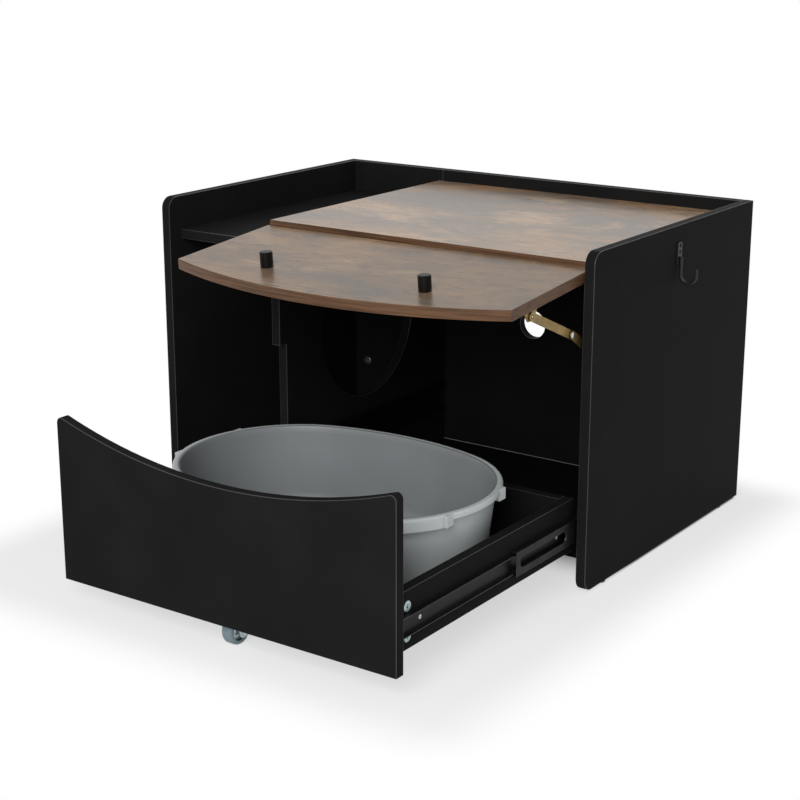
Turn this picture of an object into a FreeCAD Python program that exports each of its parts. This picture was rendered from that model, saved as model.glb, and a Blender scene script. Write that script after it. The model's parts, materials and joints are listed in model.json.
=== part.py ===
"""Cat litter box cabinet: a board carcass with a side entry, a flip-up curved door on a folding stay and a
full-extension drawer that carries a lift-out litter pan. Millimetres, X right, Y back, Z up.

Every function models in the cabinet's own frame, whose origin is on the floor at the middle of the carcass.
The saved solids are moved so that the origin is on the floor at the middle of the whole object's box, with
the drawer pulled out and the door flipped open, which is the rest pose.
"""

import FreeCAD, Part
import math
import os

V = FreeCAD.Vector
X_AXIS = V(1, 0, 0)
Y_AXIS = V(0, 1, 0)
Z_AXIS = V(0, 0, 1)

# Carcass
WIDTH = 760.0
DEPTH = 497.0
HEIGHT = 480.0
BOARD = 15.0
SIDE_CORNER_RADIUS = 18.0
INNER_SETBACK = 26.5
ENTRY_WIDTH = 178.0
TOP_RECESS = 19.0
ENTRY_ROOF_RECESS = 52.0
ENTRY_FLOOR_LIFT = 15.0
DOORWAY_DIAMETER = 248.0
DOORWAY_CENTRE_Z = 263.0
VENT_DIAMETER = 48.0
VENT_CENTRE_X = 3.0
VENT_CENTRE_Z = 235.0
DIVIDER_STEP_GAP = 1.0
DIVIDER_STEP_RISE = 3.0
RAIL_SETBACK = 57.0
RAIL_BOTTOM = 15.0
RAIL_HEIGHT = 35.0
GLIDE_HEIGHT = 4.0
GLIDE_DIAMETER = 13.0
GLIDE_CHAMFER = 1.0
GLIDE_INSET = 60.0

# Knock-down fittings and screws; small round pieces and their bores are prisms with flats
FASTENER_SIDES = 6
CAM_SIDES = 8
PIVOT_SIDES = 12
KNOB_SIDES = 24
CAM_DIAMETER = 15.0
CAM_DEPTH = 12.0
CAM_SETBACK = 24.0
CAM_FROM_EDGE = 60.0
CAM_BOLT_DIAMETER = 6.0
CAM_BOLT_GRIP = 11.0
DOWEL_DIAMETER = 8.0
DOWEL_LENGTH = 30.0
DOWEL_FROM_EDGE = 70.0
FITTING_CLEARANCE = 0.1
SCREW_DIAMETER = 3.0
SCREW_HEAD_DIAMETER = 6.0
SCREW_HEAD_HEIGHT = 1.8
SCREW_CLEARANCE = 0.05
BACK_SCREW_LENGTH = 40.0
PLATE_SCREW_LENGTH = 11.0

# Flip door and its butt hinges
OPEN_ANGLE = 85.0
DOOR_SIDE_GAP = 2.0
DOOR_BACK_GAP = 2.0
DOOR_STEP = 7.5
DOOR_END_LENGTH = 202.0
DOOR_SAG = 54.0
HINGE_INSET = 5.5
HINGE_SWING_CLEARANCE = 0.4
HINGE_BARREL_RADIUS = 3.5
HINGE_PIN_RADIUS = 1.5
HINGE_PIN_CLEARANCE = 0.3
HINGE_WIDTH = 42.0
HINGE_LEAF = 1.2
HINGE_LEAF_REACH = 24.0
HINGE_END_MARGIN = 97.0
HINGE_NOTCH_CLEARANCE = 0.5
HINGE_NECK = 1.0
KNUCKLE_GAP = 0.4
KNOB_DIAMETER = 18.0
KNOB_HEIGHT = 22.0
KNOB_SPACING = 262.0
KNOB_DISTANCE = 180.0
KNOB_CHAMFER = 1.2
KNOB_SCREW_DIAMETER = 4.0
KNOB_SCREW_HEAD = 2.0
KNOB_SCREW_GRIP = 10.0

# Folding stay
STAY_PIVOT_SETBACK = 17.0
STAY_PIVOT_DROP = 115.0
STAY_DOOR_PIVOT = 149.0
STAY_DOOR_OFFSET = 9.0
STAY_STRAIGHT_SLACK = 0.5
STAY_FOLD_SLACK = 0.5
STAY_ARM_WIDTH = 12.0
STAY_ARM = 2.0
STAY_PLATE = 1.5
STAY_LAYER_GAP = 0.4
STAY_PIN_RADIUS = 2.5
STAY_PIN_CLEARANCE = 0.3
STAY_RIVET_HEAD_RADIUS = 4.5
STAY_RIVET_HEAD = 1.2
STAY_BRACKET_LENGTH = 34.0
STAY_BRACKET_WIDTH = 15.0
STAY_EAR_MARGIN = 3.5
STAY_EAR_ROUND = 4.0

# Drawer
PULL_BEYOND_SIDES = 28.5
DRAWER_TO_DOOR_GAP = 1.5
DRAWER_FRONT_BOTTOM = 35.0
DRAWER_FRONT_TOP = 265.0
DRAWER_FRONT_SAG = 44.0
DRAWER_CORNER_RADIUS = 8.0
DRAWER_SIDE_BOTTOM = 57.0
DRAWER_SIDE_HEIGHT = 77.0
DRAWER_REAR_GAP = 18.0
DRAWER_BASE = 3.0
DRAWER_BASE_LIFT = 5.0
DRAWER_BASE_GROOVE = 6.0
GROOVE_CLEARANCE = 0.2
DRAWER_UPPER_CAM = 21.5
DRAWER_LOWER_CAM_GAP = 1.0
DRAWER_BACK_SCREW_SPACING = 45.0

# Ball slides, in a section across the slide: reach is measured from the cabinet wall
SLIDE_GAP = 12.7
SLIDE_CENTRE_LIFT = 34.0
SLIDE_STEEL = 1.2
SLIDE_OUTER_HEIGHT = 45.0
SLIDE_OUTER_REACH = 10.0
SLIDE_MIDDLE_HEIGHT = 34.0
SLIDE_MIDDLE_START = 3.0
SLIDE_MIDDLE_REACH = 11.0
SLIDE_INNER_HEIGHT = 26.0
SLIDE_INNER_START = 5.6
SLIDE_LIP = 3.2
SLIDE_FRONT_SETBACK = 2.5
SLIDE_MIDDLE_SETBACK = 32.0
SLIDE_REAR_MARGIN = 1.0
BALL_CLEARANCE = 0.3
CAGE_LENGTH = 110.0
CAGE_THICKNESS = 0.6
CAGE_END_MARGIN = 10.0
BALLS_PER_CAGE = 2
BALL_SIDES = 6
SLIDE_SCREW_LENGTH = 10.0
SLIDE_SCREW_MARGIN = 46.0
SLIDE_SLOT_MARGIN = 10.0
SLIDE_SLOT_LENGTH = 120.0
SLIDE_SLOT_HEIGHT = 16.0

# Caster under the drawer
CASTER_OFFSET = -8.5
WHEEL_DIAMETER = 40.0
WHEEL_WIDTH = 17.0
WHEEL_HUB_WIDTH = 20.0
WHEEL_HUB_DIAMETER = 12.0
WHEEL_TREAD = 6.0
WHEEL_WEB = 6.0
FORK_WIDTH = 31.0
FORK_STEEL = 2.5
FORK_EAR_RADIUS = 8.0
AXLE_DIAMETER = 6.0
AXLE_CLEARANCE = 0.3
AXLE_HEAD = 2.0
AXLE_HEAD_DIAMETER = 9.6
CASTER_CLEARANCE = 1.5
CASTER_PLATE_DEPTH = 30.0
CASTER_BLOCK_WIDTH = 60.0
CASTER_BLOCK_DEPTH = 36.0
CASTER_PLATE_INSET = 2.0

# Litter pan
PAN_SIDE_GAP = 0.8
PAN_REAR_GAP = 10.0
PAN_SIDE_BOW = 10.0
PAN_ARC_CORNERS = 10
PAN_HEIGHT = 117.5
PAN_WALL = 2.5
PAN_RIM = 9.0
PAN_SKIRT = 17.0
PAN_SHORT_SKIRT = 8.0
PAN_TAPER = 12.0
PAN_FOOT = 12.0
PAN_FRONT_GAP = 42.0
PAN_TAB_WIDTH = 16.0
PAN_TAB_PROUD = 3.0
PAN_TAB_OFFSET = 62.0
PAN_SEAT_GAP = 0.3

# Scoop hook on the right side panel
HOOK_ROD_RADIUS = 2.4
HOOK_WELD = 0.1
HOOK_BEND_RADIUS = 12.0
HOOK_BEND_STEPS = 8
HOOK_Y = -2.0
HOOK_TOP_DROP = 24.0
HOOK_PLATE_HEIGHT = 34.0
HOOK_PLATE_WIDTH = 13.0
HOOK_PLATE = 2.0
HOOK_SHANK_LENGTH = 25.0
HOOK_SHANK_DROP = 21.0
HOOK_TIP = 9.4

# Places worked out from the sizes above
INNER_X = WIDTH / 2 - BOARD
FRONT_Y = -DEPTH / 2
BACK_Y = DEPTH / 2
BACK_INNER_Y = BACK_Y - BOARD
BOARD_FRONT_Y = FRONT_Y + INNER_SETBACK
DIVIDER_LEFT_X = -INNER_X + ENTRY_WIDTH
DIVIDER_RIGHT_X = DIVIDER_LEFT_X + BOARD
SEAM_X = DIVIDER_LEFT_X + BOARD / 2
TOP_Z = HEIGHT - TOP_RECESS
TOP_UNDER_Z = TOP_Z - BOARD
ENTRY_ROOF_Z = HEIGHT - ENTRY_ROOF_RECESS
ENTRY_FLOOR_Z = ENTRY_FLOOR_LIFT + BOARD
DOORWAY_CENTRE_Y = (BOARD_FRONT_Y + BACK_INNER_Y) / 2
RAIL_FRONT_Y = BOARD_FRONT_Y + RAIL_SETBACK

DOOR_LEFT_X = DIVIDER_LEFT_X
DOOR_RIGHT_X = INNER_X - DOOR_SIDE_GAP
DOOR_MIDDLE_X = (DOOR_LEFT_X + DOOR_RIGHT_X) / 2
DOOR_INNER_Y = BOARD_FRONT_Y - DOOR_BACK_GAP
DOOR_OUTER_Y = DOOR_INNER_Y - BOARD
HINGE_Y = DOOR_INNER_Y - HINGE_INSET
HINGE_Z = TOP_UNDER_Z - DOOR_STEP + HINGE_INSET
DOOR_SWING_RADIUS = DOOR_BACK_GAP + HINGE_INSET - HINGE_SWING_CLEARANCE
HINGE_TO_DOOR_END = math.sqrt(DOOR_SWING_RADIUS ** 2 - HINGE_INSET ** 2)
DOOR_END_Z = HINGE_Z + HINGE_TO_DOOR_END
HINGE_LEFT_X = DOOR_LEFT_X + HINGE_END_MARGIN
HINGE_RIGHT_X = DOOR_RIGHT_X - HINGE_END_MARGIN

DRAWER_FRONT_Y = DOOR_INNER_Y + DRAWER_TO_DOOR_GAP
DRAWER_FRONT_REAR_Y = DRAWER_FRONT_Y + BOARD
DRAWER_REAR_Y = BACK_INNER_Y - DRAWER_REAR_GAP
DRAWER_LENGTH = DRAWER_REAR_Y - DRAWER_FRONT_REAR_Y
PULL_OUT = DRAWER_LENGTH + PULL_BEYOND_SIDES
DRAWER_LEFT_X = DIVIDER_RIGHT_X + SLIDE_GAP
DRAWER_RIGHT_X = INNER_X - SLIDE_GAP
DRAWER_MIDDLE_X = (DRAWER_LEFT_X + DRAWER_RIGHT_X) / 2
DRAWER_SIDE_TOP = DRAWER_SIDE_BOTTOM + DRAWER_SIDE_HEIGHT
DRAWER_BASE_Z = DRAWER_SIDE_BOTTOM + DRAWER_BASE_LIFT
DRAWER_BASE_TOP_Z = DRAWER_BASE_Z + DRAWER_BASE
SLIDE_Z = DRAWER_SIDE_BOTTOM + SLIDE_CENTRE_LIFT
CASTER_X = DRAWER_MIDDLE_X + CASTER_OFFSET
CASTER_Y = DRAWER_FRONT_REAR_Y + CASTER_CLEARANCE + CASTER_PLATE_DEPTH / 2
WHEEL_Z = WHEEL_DIAMETER / 2
CASTER_PLATE_TOP_Z = DRAWER_BASE_Z - BOARD
PAN_HALF_LENGTH = (DRAWER_RIGHT_X - DRAWER_LEFT_X) / 2 - BOARD - PAN_SIDE_GAP
PAN_HALF_WIDTH = (DRAWER_LENGTH - BOARD - PAN_FRONT_GAP - PAN_REAR_GAP) / 2
PAN_END_RADIUS = PAN_HALF_WIDTH - PAN_SIDE_BOW
PAN_Y = DRAWER_FRONT_REAR_Y + PAN_FRONT_GAP + PAN_HALF_WIDTH
PAN_BOTTOM_Z = DRAWER_BASE_TOP_Z + PAN_SEAT_GAP
PAN_RIM_Z = PAN_BOTTOM_Z + PAN_HEIGHT

HOOK_TOP_Z = HEIGHT - HOOK_TOP_DROP
HOOK_ROD_X = WIDTH / 2 + HOOK_PLATE + HOOK_ROD_RADIUS - HOOK_WELD
HOOK_REACH_X = HOOK_ROD_X + 2 * HOOK_BEND_RADIUS + HOOK_ROD_RADIUS

ORIGIN = V((HOOK_REACH_X - WIDTH / 2) / 2, (DRAWER_FRONT_Y - PULL_OUT + BACK_Y) / 2, 0)


def block(x_range, y_range, z_range):
    """A box between two values on each axis."""
    size = [high - low for low, high in (x_range, y_range, z_range)]
    return Part.makeBox(*size, V(x_range[0], y_range[0], z_range[0]))


def rod(start, direction, radius, length):
    """A round bar from a point along a direction."""
    return Part.makeCylinder(radius, length, start, direction)


def flat_corners(centre, across, up, radius, sides):
    """Corners of a regular polygon on two square directions; the radius is to its flats."""
    reach = radius / math.cos(math.pi / sides)
    angles = [(i + 0.5) * 2 * math.pi / sides for i in range(sides)]
    return [centre + across * (reach * math.cos(a)) + up * (reach * math.sin(a)) for a in angles]


def ring(centre, direction, radius, sides):
    """Corners of a regular polygon about an axis, with a flat to each square direction."""
    across = direction.cross(X_AXIS if abs(direction.z) > 0.5 else Z_AXIS).normalize()
    return flat_corners(centre, across, direction.cross(across), radius, sides)


def plane(corners):
    """A flat face between corners."""
    return Part.Face(Part.makePolygon(corners + [corners[0]]))


def stack(rings):
    """A solid with flat faces through a row of rings that have as many corners each."""
    faces = [plane(rings[0]), plane(rings[-1])]
    for low, high in zip(rings, rings[1:]):
        for i in range(len(low)):
            faces.append(plane([low[i - 1], low[i], high[i], high[i - 1]]))
    shell = Part.Shell(faces)
    shell.sewShape()
    solid = Part.Solid(shell)
    if solid.Volume < 0:
        solid.reverse()
    return solid


def prism(start, direction, radius, length, sides):
    """A bar with flats from a point along a direction."""
    return plane(ring(start, direction, radius, sides)).extrude(direction * length)


def outline(points, radii):
    """A flat face whose corners are rounded, each by its own radius; 0 leaves a sharp corner."""
    edges = []
    starts = []
    ends = []
    arcs = []
    for i, corner in enumerate(points):
        to_last = (points[i - 1] - corner).normalize()
        to_next = (points[(i + 1) % len(points)] - corner).normalize()
        half_angle = to_last.getAngle(to_next) / 2
        setback = radii[i] / math.tan(half_angle)
        starts.append(corner + to_last * setback)
        ends.append(corner + to_next * setback)
        bisector = (to_last + to_next).normalize()
        middle = corner + bisector * (radii[i] / math.sin(half_angle) - radii[i])
        arcs.append(Part.Arc(starts[i], middle, ends[i]).toShape() if radii[i] else None)
    for i in range(len(points)):
        if arcs[i]:
            edges.append(arcs[i])
        edges.append(Part.makeLine(ends[i], starts[(i + 1) % len(points)]))
    return Part.Face(Part.Wire(edges))


def union(shapes):
    """The shapes joined into one solid."""
    return shapes[0].fuse(shapes[1:]).removeSplitter() if len(shapes) > 1 else shapes[0]


def group(shapes):
    """Separate solids that share a node."""
    return Part.makeCompound(shapes)


def cut_all(board, cutters):
    """A board with every cutter's bore taken out of it."""
    return board.cut(cutters) if cutters else board


def flipped_open(shape):
    """A shape of the closed door, turned to the open door's place."""
    return shape.copy().rotate(V(0, HINGE_Y, HINGE_Z), X_AXIS, -OPEN_ANGLE)


def pulled_out(shape, share=1.0):
    """A shape of the closed drawer, moved out by a share of the pull."""
    moved = shape.copy()
    moved.translate(V(0, -PULL_OUT * share, 0))
    return moved


# Screws, cams and dowels

def screw(head_point, direction, length, extra=0.0):
    """A countersunk screw; extra is the radial clearance of the hole that takes it."""
    shank = SCREW_DIAMETER / 2 + extra
    places = [(0, SCREW_HEAD_DIAMETER / 2 + extra), (SCREW_HEAD_HEIGHT, shank), (length + extra, shank)]
    return stack([ring(head_point + direction * along, direction, radius, FASTENER_SIDES)
                  for along, radius in places])


class CamJoint:
    """A cam disc in a board's end, its bolt across the joint, and the bores for both."""

    def __init__(self, joint_point, into_board, bored_face):
        centre = joint_point + into_board * CAM_SETBACK + bored_face * (BOARD / 2)
        down = bored_face * -1
        tip = joint_point - into_board * CAM_BOLT_GRIP
        reach = CAM_BOLT_GRIP + CAM_SETBACK - CAM_DIAMETER / 2 - 2 * FITTING_CLEARANCE
        disc_radius = CAM_DIAMETER / 2
        bolt_radius = CAM_BOLT_DIAMETER / 2
        self.disc = prism(centre, down, disc_radius, CAM_DEPTH, CAM_SIDES)
        self.bolt = prism(tip, into_board, bolt_radius, reach, FASTENER_SIDES)
        self.bores = [prism(centre, down, disc_radius + FITTING_CLEARANCE, CAM_DEPTH, CAM_SIDES),
                      prism(tip, into_board, bolt_radius + FITTING_CLEARANCE, CAM_BOLT_GRIP + CAM_SETBACK,
                            FASTENER_SIDES)]


def dowels_in_top():
    """Places of the dowels between the divider and the top board, as their lower ends."""
    low = TOP_UNDER_Z - DOWEL_LENGTH * 2 / 3
    ends = (BOARD_FRONT_Y + DOWEL_FROM_EDGE, BACK_INNER_Y - DOWEL_FROM_EDGE)
    return [V(SEAM_X, y, low) for y in (ends[0], DOORWAY_CENTRE_Y, ends[1])]


def carcass_cams():
    """Every cam joint of the carcass, by the board that it is bored in."""
    left = V(-1, 0, 0)
    down = V(0, 0, -1)
    front_y = BOARD_FRONT_Y + CAM_FROM_EDGE
    rear_y = BACK_INNER_Y - CAM_FROM_EDGE
    cams = {"top": [], "roof": [], "floor": [], "rail": [], "back_left": [], "back_right": []}
    for y in (front_y, rear_y):
        cams["top"].append(CamJoint(V(INNER_X, y, TOP_Z - BOARD / 2), left, down))
        for name, z in (("roof", ENTRY_ROOF_Z - BOARD / 2), ("floor", ENTRY_FLOOR_Z - BOARD / 2)):
            cams[name].append(CamJoint(V(-INNER_X, y, z), X_AXIS, down))
            cams[name].append(CamJoint(V(DIVIDER_LEFT_X, y, z), left, down))
    rail_y = RAIL_FRONT_Y + BOARD / 2
    rail_z = RAIL_BOTTOM + RAIL_HEIGHT / 2
    cams["rail"].append(CamJoint(V(DIVIDER_RIGHT_X, rail_y, rail_z), X_AXIS, Y_AXIS))
    cams["rail"].append(CamJoint(V(INNER_X, rail_y, rail_z), left, Y_AXIS))
    for z in (HEIGHT * 0.25, HEIGHT * 0.75):
        back_y = BACK_Y - BOARD / 2
        cams["back_left"].append(CamJoint(V(-INNER_X, back_y, z), X_AXIS, V(0, -1, 0)))
        cams["back_right"].append(CamJoint(V(INNER_X, back_y, z), left, V(0, -1, 0)))
    return cams


CAMS = carcass_cams()


def cam_bores(*names):
    """The bores of the named boards' cam joints."""
    return [bore for name in names for joint in CAMS[name] for bore in joint.bores]


def back_screws(extra=0.0):
    """Screws through the back boards into the divider's rear edge."""
    quarter = BOARD / 4
    places = [V(x, BACK_Y, z) for x in (SEAM_X - quarter, SEAM_X + quarter)
              for z in (HEIGHT * 0.15, HEIGHT * 0.8)]
    return [screw(place, V(0, -1, 0), BACK_SCREW_LENGTH, extra) for place in places]


# Carcass boards

def side_profile(x):
    """The side panel's outline, with its two rounded front corners."""
    low = GLIDE_HEIGHT
    points = [V(x, FRONT_Y, low), V(x, BACK_Y, low), V(x, BACK_Y, HEIGHT), V(x, FRONT_Y, HEIGHT)]
    return outline(points, [SIDE_CORNER_RADIUS, 0, 0, SIDE_CORNER_RADIUS])


def left_side_panel():
    board = side_profile(-WIDTH / 2).extrude(X_AXIS * BOARD)
    return cut_all(board, cam_bores("roof", "floor", "back_left"))


def right_side_panel():
    board = side_profile(INNER_X).extrude(X_AXIS * BOARD)
    bores = cam_bores("top", "rail", "back_right") + stay_wall_screws(SCREW_CLEARANCE)
    bores += cabinet_member_screws(1, SCREW_CLEARANCE) + hook_screws(SCREW_CLEARANCE)
    return cut_all(board, bores)


def back_board(x_range, name):
    """One of the two back boards, which meet behind the divider."""
    board = block(x_range, (BACK_INNER_Y, BACK_Y), (GLIDE_HEIGHT, HEIGHT))
    return cut_all(board, cam_bores(name) + back_screws(SCREW_CLEARANCE))


def back_board_left():
    return back_board((-INNER_X, SEAM_X), "back_left")


def back_board_right():
    vent = rod(V(VENT_CENTRE_X, BACK_INNER_Y, VENT_CENTRE_Z), Y_AXIS, VENT_DIAMETER / 2, BOARD)
    return back_board((SEAM_X, INNER_X), "back_right").cut(vent)


def divider_panel():
    """The divider, cut back in front for the closed drawer's front, with the cat's round doorway."""
    step_y = DRAWER_FRONT_REAR_Y + DIVIDER_STEP_GAP
    step_z = DRAWER_FRONT_TOP + DIVIDER_STEP_RISE
    points = [V(DIVIDER_LEFT_X, step_y, GLIDE_HEIGHT), V(DIVIDER_LEFT_X, BACK_INNER_Y, GLIDE_HEIGHT),
              V(DIVIDER_LEFT_X, BACK_INNER_Y, TOP_UNDER_Z), V(DIVIDER_LEFT_X, BOARD_FRONT_Y, TOP_UNDER_Z),
              V(DIVIDER_LEFT_X, BOARD_FRONT_Y, step_z), V(DIVIDER_LEFT_X, step_y, step_z)]
    board = outline(points, [0] * 6).extrude(X_AXIS * BOARD)
    centre = V(DIVIDER_LEFT_X, DOORWAY_CENTRE_Y, DOORWAY_CENTRE_Z)
    doorway = rod(centre, X_AXIS, DOORWAY_DIAMETER / 2, BOARD)
    bores = cam_bores("roof", "floor", "rail") + back_screws(SCREW_CLEARANCE)
    bores += [dowel(place, FITTING_CLEARANCE) for place in dowels_in_top()]
    return cut_all(board.cut(doorway), bores + cabinet_member_screws(-1, SCREW_CLEARANCE))


def dowel(low_end, extra=0.0):
    return prism(low_end, Z_AXIS, DOWEL_DIAMETER / 2 + extra, DOWEL_LENGTH, FASTENER_SIDES)


def top_board():
    board = block((DIVIDER_LEFT_X, INNER_X), (BOARD_FRONT_Y, BACK_INNER_Y), (TOP_UNDER_Z, TOP_Z))
    bores = [dowel(place, FITTING_CLEARANCE) for place in dowels_in_top()]
    return cut_all(board, bores + cam_bores("top") + top_leaf_screws(SCREW_CLEARANCE))


def entry_board(top_z, name):
    """A board that spans the entry from the side panel to the divider."""
    board = block((-INNER_X, DIVIDER_LEFT_X), (BOARD_FRONT_Y, BACK_INNER_Y), (top_z - BOARD, top_z))
    return cut_all(board, cam_bores(name))


def front_rail():
    """The low rail under the drawer, behind the closed drawer's caster."""
    z_range = (RAIL_BOTTOM, RAIL_BOTTOM + RAIL_HEIGHT)
    board = block((DIVIDER_RIGHT_X, INNER_X), (RAIL_FRONT_Y, RAIL_FRONT_Y + BOARD), z_range)
    return cut_all(board, cam_bores("rail"))


def floor_glides():
    """Round plastic glides under the side panels and the divider."""
    radius = GLIDE_DIAMETER / 2
    places = [(x, y) for x in (BOARD / 2 - WIDTH / 2, SEAM_X, WIDTH / 2 - BOARD / 2)
              for y in (FRONT_Y + GLIDE_INSET, BACK_Y - GLIDE_INSET)]
    levels = [(0, radius - GLIDE_CHAMFER), (GLIDE_CHAMFER, radius), (GLIDE_HEIGHT, radius)]
    glides = []
    for x, y in places:
        glides.append(stack([ring(V(x, y, z), Z_AXIS, reach, PIVOT_SIDES) for z, reach in levels]))
    return group(glides)


# Flip door: closed places, turned open when saved

def door_outline(y):
    """The door's outline: straight at the hinges, bowed along its free edge."""
    low = DOOR_END_Z - DOOR_END_LENGTH
    corners = [V(DOOR_LEFT_X, y, low), V(DOOR_LEFT_X, y, DOOR_END_Z), V(DOOR_RIGHT_X, y, DOOR_END_Z),
               V(DOOR_RIGHT_X, y, low)]
    edges = [Part.makeLine(corners[i], corners[i + 1]) for i in range(3)]
    edges.append(Part.Arc(corners[3], V(DOOR_MIDDLE_X, y, low - DOOR_SAG), corners[0]).toShape())
    return Part.Face(Part.Wire(edges))


def hinge_notch(x):
    """The pocket in the door's upper inner edge that clears a hinge's barrel, and the leaf's mortise."""
    wall = HINGE_BARREL_RADIUS + HINGE_NOTCH_CLEARANCE
    half = HINGE_WIDTH / 2 + KNUCKLE_GAP
    pocket = block((x - half, x + half), (HINGE_Y - wall, DOOR_INNER_Y), (HINGE_Z - wall, DOOR_END_Z))
    low = HINGE_Z - HINGE_LEAF_REACH - KNUCKLE_GAP
    mortise = block((x - half, x + half), (DOOR_INNER_Y - HINGE_LEAF, DOOR_INNER_Y), (low, HINGE_Z))
    return [pocket, mortise]


def flip_door():
    board = door_outline(DOOR_OUTER_Y).extrude(Y_AXIS * BOARD)
    cutters = hinge_notch(HINGE_LEFT_X) + hinge_notch(HINGE_RIGHT_X) + door_leaf_screws(SCREW_CLEARANCE)
    cutters += stay_door_screws(SCREW_CLEARANCE)
    cutters += [knob_screw(x, SCREW_CLEARANCE) for x in knob_places()]
    return cut_all(board, cutters)


def knob_places():
    return (DOOR_MIDDLE_X - KNOB_SPACING / 2, DOOR_MIDDLE_X + KNOB_SPACING / 2)


def knob(x):
    """A turned knob: a plain cylinder with a softened top and a tapped hole."""
    base = V(x, DOOR_OUTER_Y, DOOR_END_Z - KNOB_DISTANCE)
    radius = KNOB_DIAMETER / 2
    levels = [(0, radius), (KNOB_HEIGHT - KNOB_CHAMFER, radius), (KNOB_HEIGHT, radius - KNOB_CHAMFER)]
    body = stack([ring(base - Y_AXIS * out, V(0, -1, 0), reach, KNOB_SIDES) for out, reach in levels])
    depth = KNOB_SCREW_GRIP + SCREW_CLEARANCE
    tapped = prism(base, V(0, -1, 0), KNOB_SCREW_DIAMETER / 2 + SCREW_CLEARANCE, depth, FASTENER_SIDES)
    return body.cut(tapped)


def knob_screw(x, extra=0.0):
    """A pan-headed screw through the door into a knob."""
    z = DOOR_END_Z - KNOB_DISTANCE
    inner = V(x, DOOR_INNER_Y, z)
    radius = KNOB_SCREW_DIAMETER / 2 + extra
    shank = prism(inner, V(0, -1, 0), radius, BOARD + KNOB_SCREW_GRIP, FASTENER_SIDES)
    return union([shank, prism(inner, Y_AXIS, KNOB_SCREW_DIAMETER, KNOB_SCREW_HEAD, FASTENER_SIDES)])


def knuckle_ranges(x, top_leaf):
    """The X ranges of a leaf's knuckles: the top leaf has the outer two, the door leaf the middle one."""
    third = HINGE_WIDTH / 3
    gap = KNUCKLE_GAP / 2
    start = x - HINGE_WIDTH / 2
    if top_leaf:
        return [(start, start + third - gap), (start + 2 * third + gap, start + HINGE_WIDTH)]
    return [(start + third + gap, start + 2 * third - gap)]


def knuckles(x, top_leaf):
    return [prism(V(low, HINGE_Y, HINGE_Z), X_AXIS, HINGE_BARREL_RADIUS, high - low, PIVOT_SIDES)
            for low, high in knuckle_ranges(x, top_leaf)]


def pin_bore(x):
    start = V(x - HINGE_WIDTH, HINGE_Y, HINGE_Z)
    return prism(start, X_AXIS, HINGE_PIN_RADIUS + HINGE_PIN_CLEARANCE, 2 * HINGE_WIDTH, PIVOT_SIDES)


def hinge_top_leaf(x):
    """The leaf under the top board, with the barrel's two outer knuckles."""
    z_range = (TOP_UNDER_Z - HINGE_LEAF, TOP_UNDER_Z)
    front = BOARD_FRONT_Y + HINGE_NECK
    half = HINGE_WIDTH / 2
    plate = block((x - half, x + half), (front, BOARD_FRONT_Y + HINGE_LEAF_REACH), z_range)
    necks = [block(span, (HINGE_Y, front), z_range) for span in knuckle_ranges(x, True)]
    body = union([plate] + necks + knuckles(x, True))
    return cut_all(body, [pin_bore(x)] + leaf_screws_of(x, True, SCREW_CLEARANCE))


def hinge_door_leaf(x):
    """The leaf let into the closed door's inner face, with the barrel's middle knuckle."""
    low = HINGE_Z - HINGE_LEAF_REACH
    shelf_z = HINGE_Z - HINGE_BARREL_RADIUS
    span = (x - HINGE_WIDTH / 2, x + HINGE_WIDTH / 2)
    plate = block(span, (DOOR_INNER_Y - HINGE_LEAF, DOOR_INNER_Y), (low, shelf_z - HINGE_NOTCH_CLEARANCE))
    middle = knuckle_ranges(x, False)[0]
    riser = block(middle, (DOOR_INNER_Y - HINGE_LEAF, DOOR_INNER_Y), (low, shelf_z + HINGE_LEAF))
    shelf = block(middle, (HINGE_Y, DOOR_INNER_Y), (shelf_z, shelf_z + HINGE_LEAF))
    body = union([plate, riser, shelf] + knuckles(x, False))
    return cut_all(body, [pin_bore(x)] + leaf_screws_of(x, False, SCREW_CLEARANCE))


def hinge_pin(x):
    """The pin, flush with the barrel's ends."""
    start = V(x - HINGE_WIDTH / 2, HINGE_Y, HINGE_Z)
    return prism(start, X_AXIS, HINGE_PIN_RADIUS, HINGE_WIDTH, PIVOT_SIDES)


def leaf_screws_of(x, top_leaf, extra=0.0):
    """The two screws of one leaf."""
    screws = []
    reach = HINGE_LEAF_REACH * 0.6
    for screw_x in (x - HINGE_WIDTH * 0.3, x + HINGE_WIDTH * 0.3):
        if top_leaf:
            place = V(screw_x, BOARD_FRONT_Y + reach, TOP_UNDER_Z - HINGE_LEAF)
            screws.append(screw(place, Z_AXIS, PLATE_SCREW_LENGTH, extra))
        else:
            place = V(screw_x, DOOR_INNER_Y, HINGE_Z - reach)
            screws.append(screw(place, V(0, -1, 0), PLATE_SCREW_LENGTH, extra))
    return screws


def top_leaf_screws(extra=0.0):
    return leaf_screws_of(HINGE_LEFT_X, True, extra) + leaf_screws_of(HINGE_RIGHT_X, True, extra)


def door_leaf_screws(extra=0.0):
    return leaf_screws_of(HINGE_LEFT_X, False, extra) + leaf_screws_of(HINGE_RIGHT_X, False, extra)


# Folding stay, in layers inward from the right side panel

STAY_WALL_FACE = INNER_X - STAY_PLATE
LOWER_ARM_OUTER = STAY_WALL_FACE - STAY_LAYER_GAP
LOWER_ARM_INNER = LOWER_ARM_OUTER - STAY_ARM
UPPER_ARM_OUTER = LOWER_ARM_INNER - STAY_LAYER_GAP
UPPER_ARM_INNER = UPPER_ARM_OUTER - STAY_ARM
STAY_EAR_OUTER = UPPER_ARM_INNER - STAY_LAYER_GAP
STAY_EAR_INNER = STAY_EAR_OUTER - STAY_PLATE
STAY_HOLE_RADIUS = STAY_PIN_RADIUS + STAY_PIN_CLEARANCE


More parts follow.
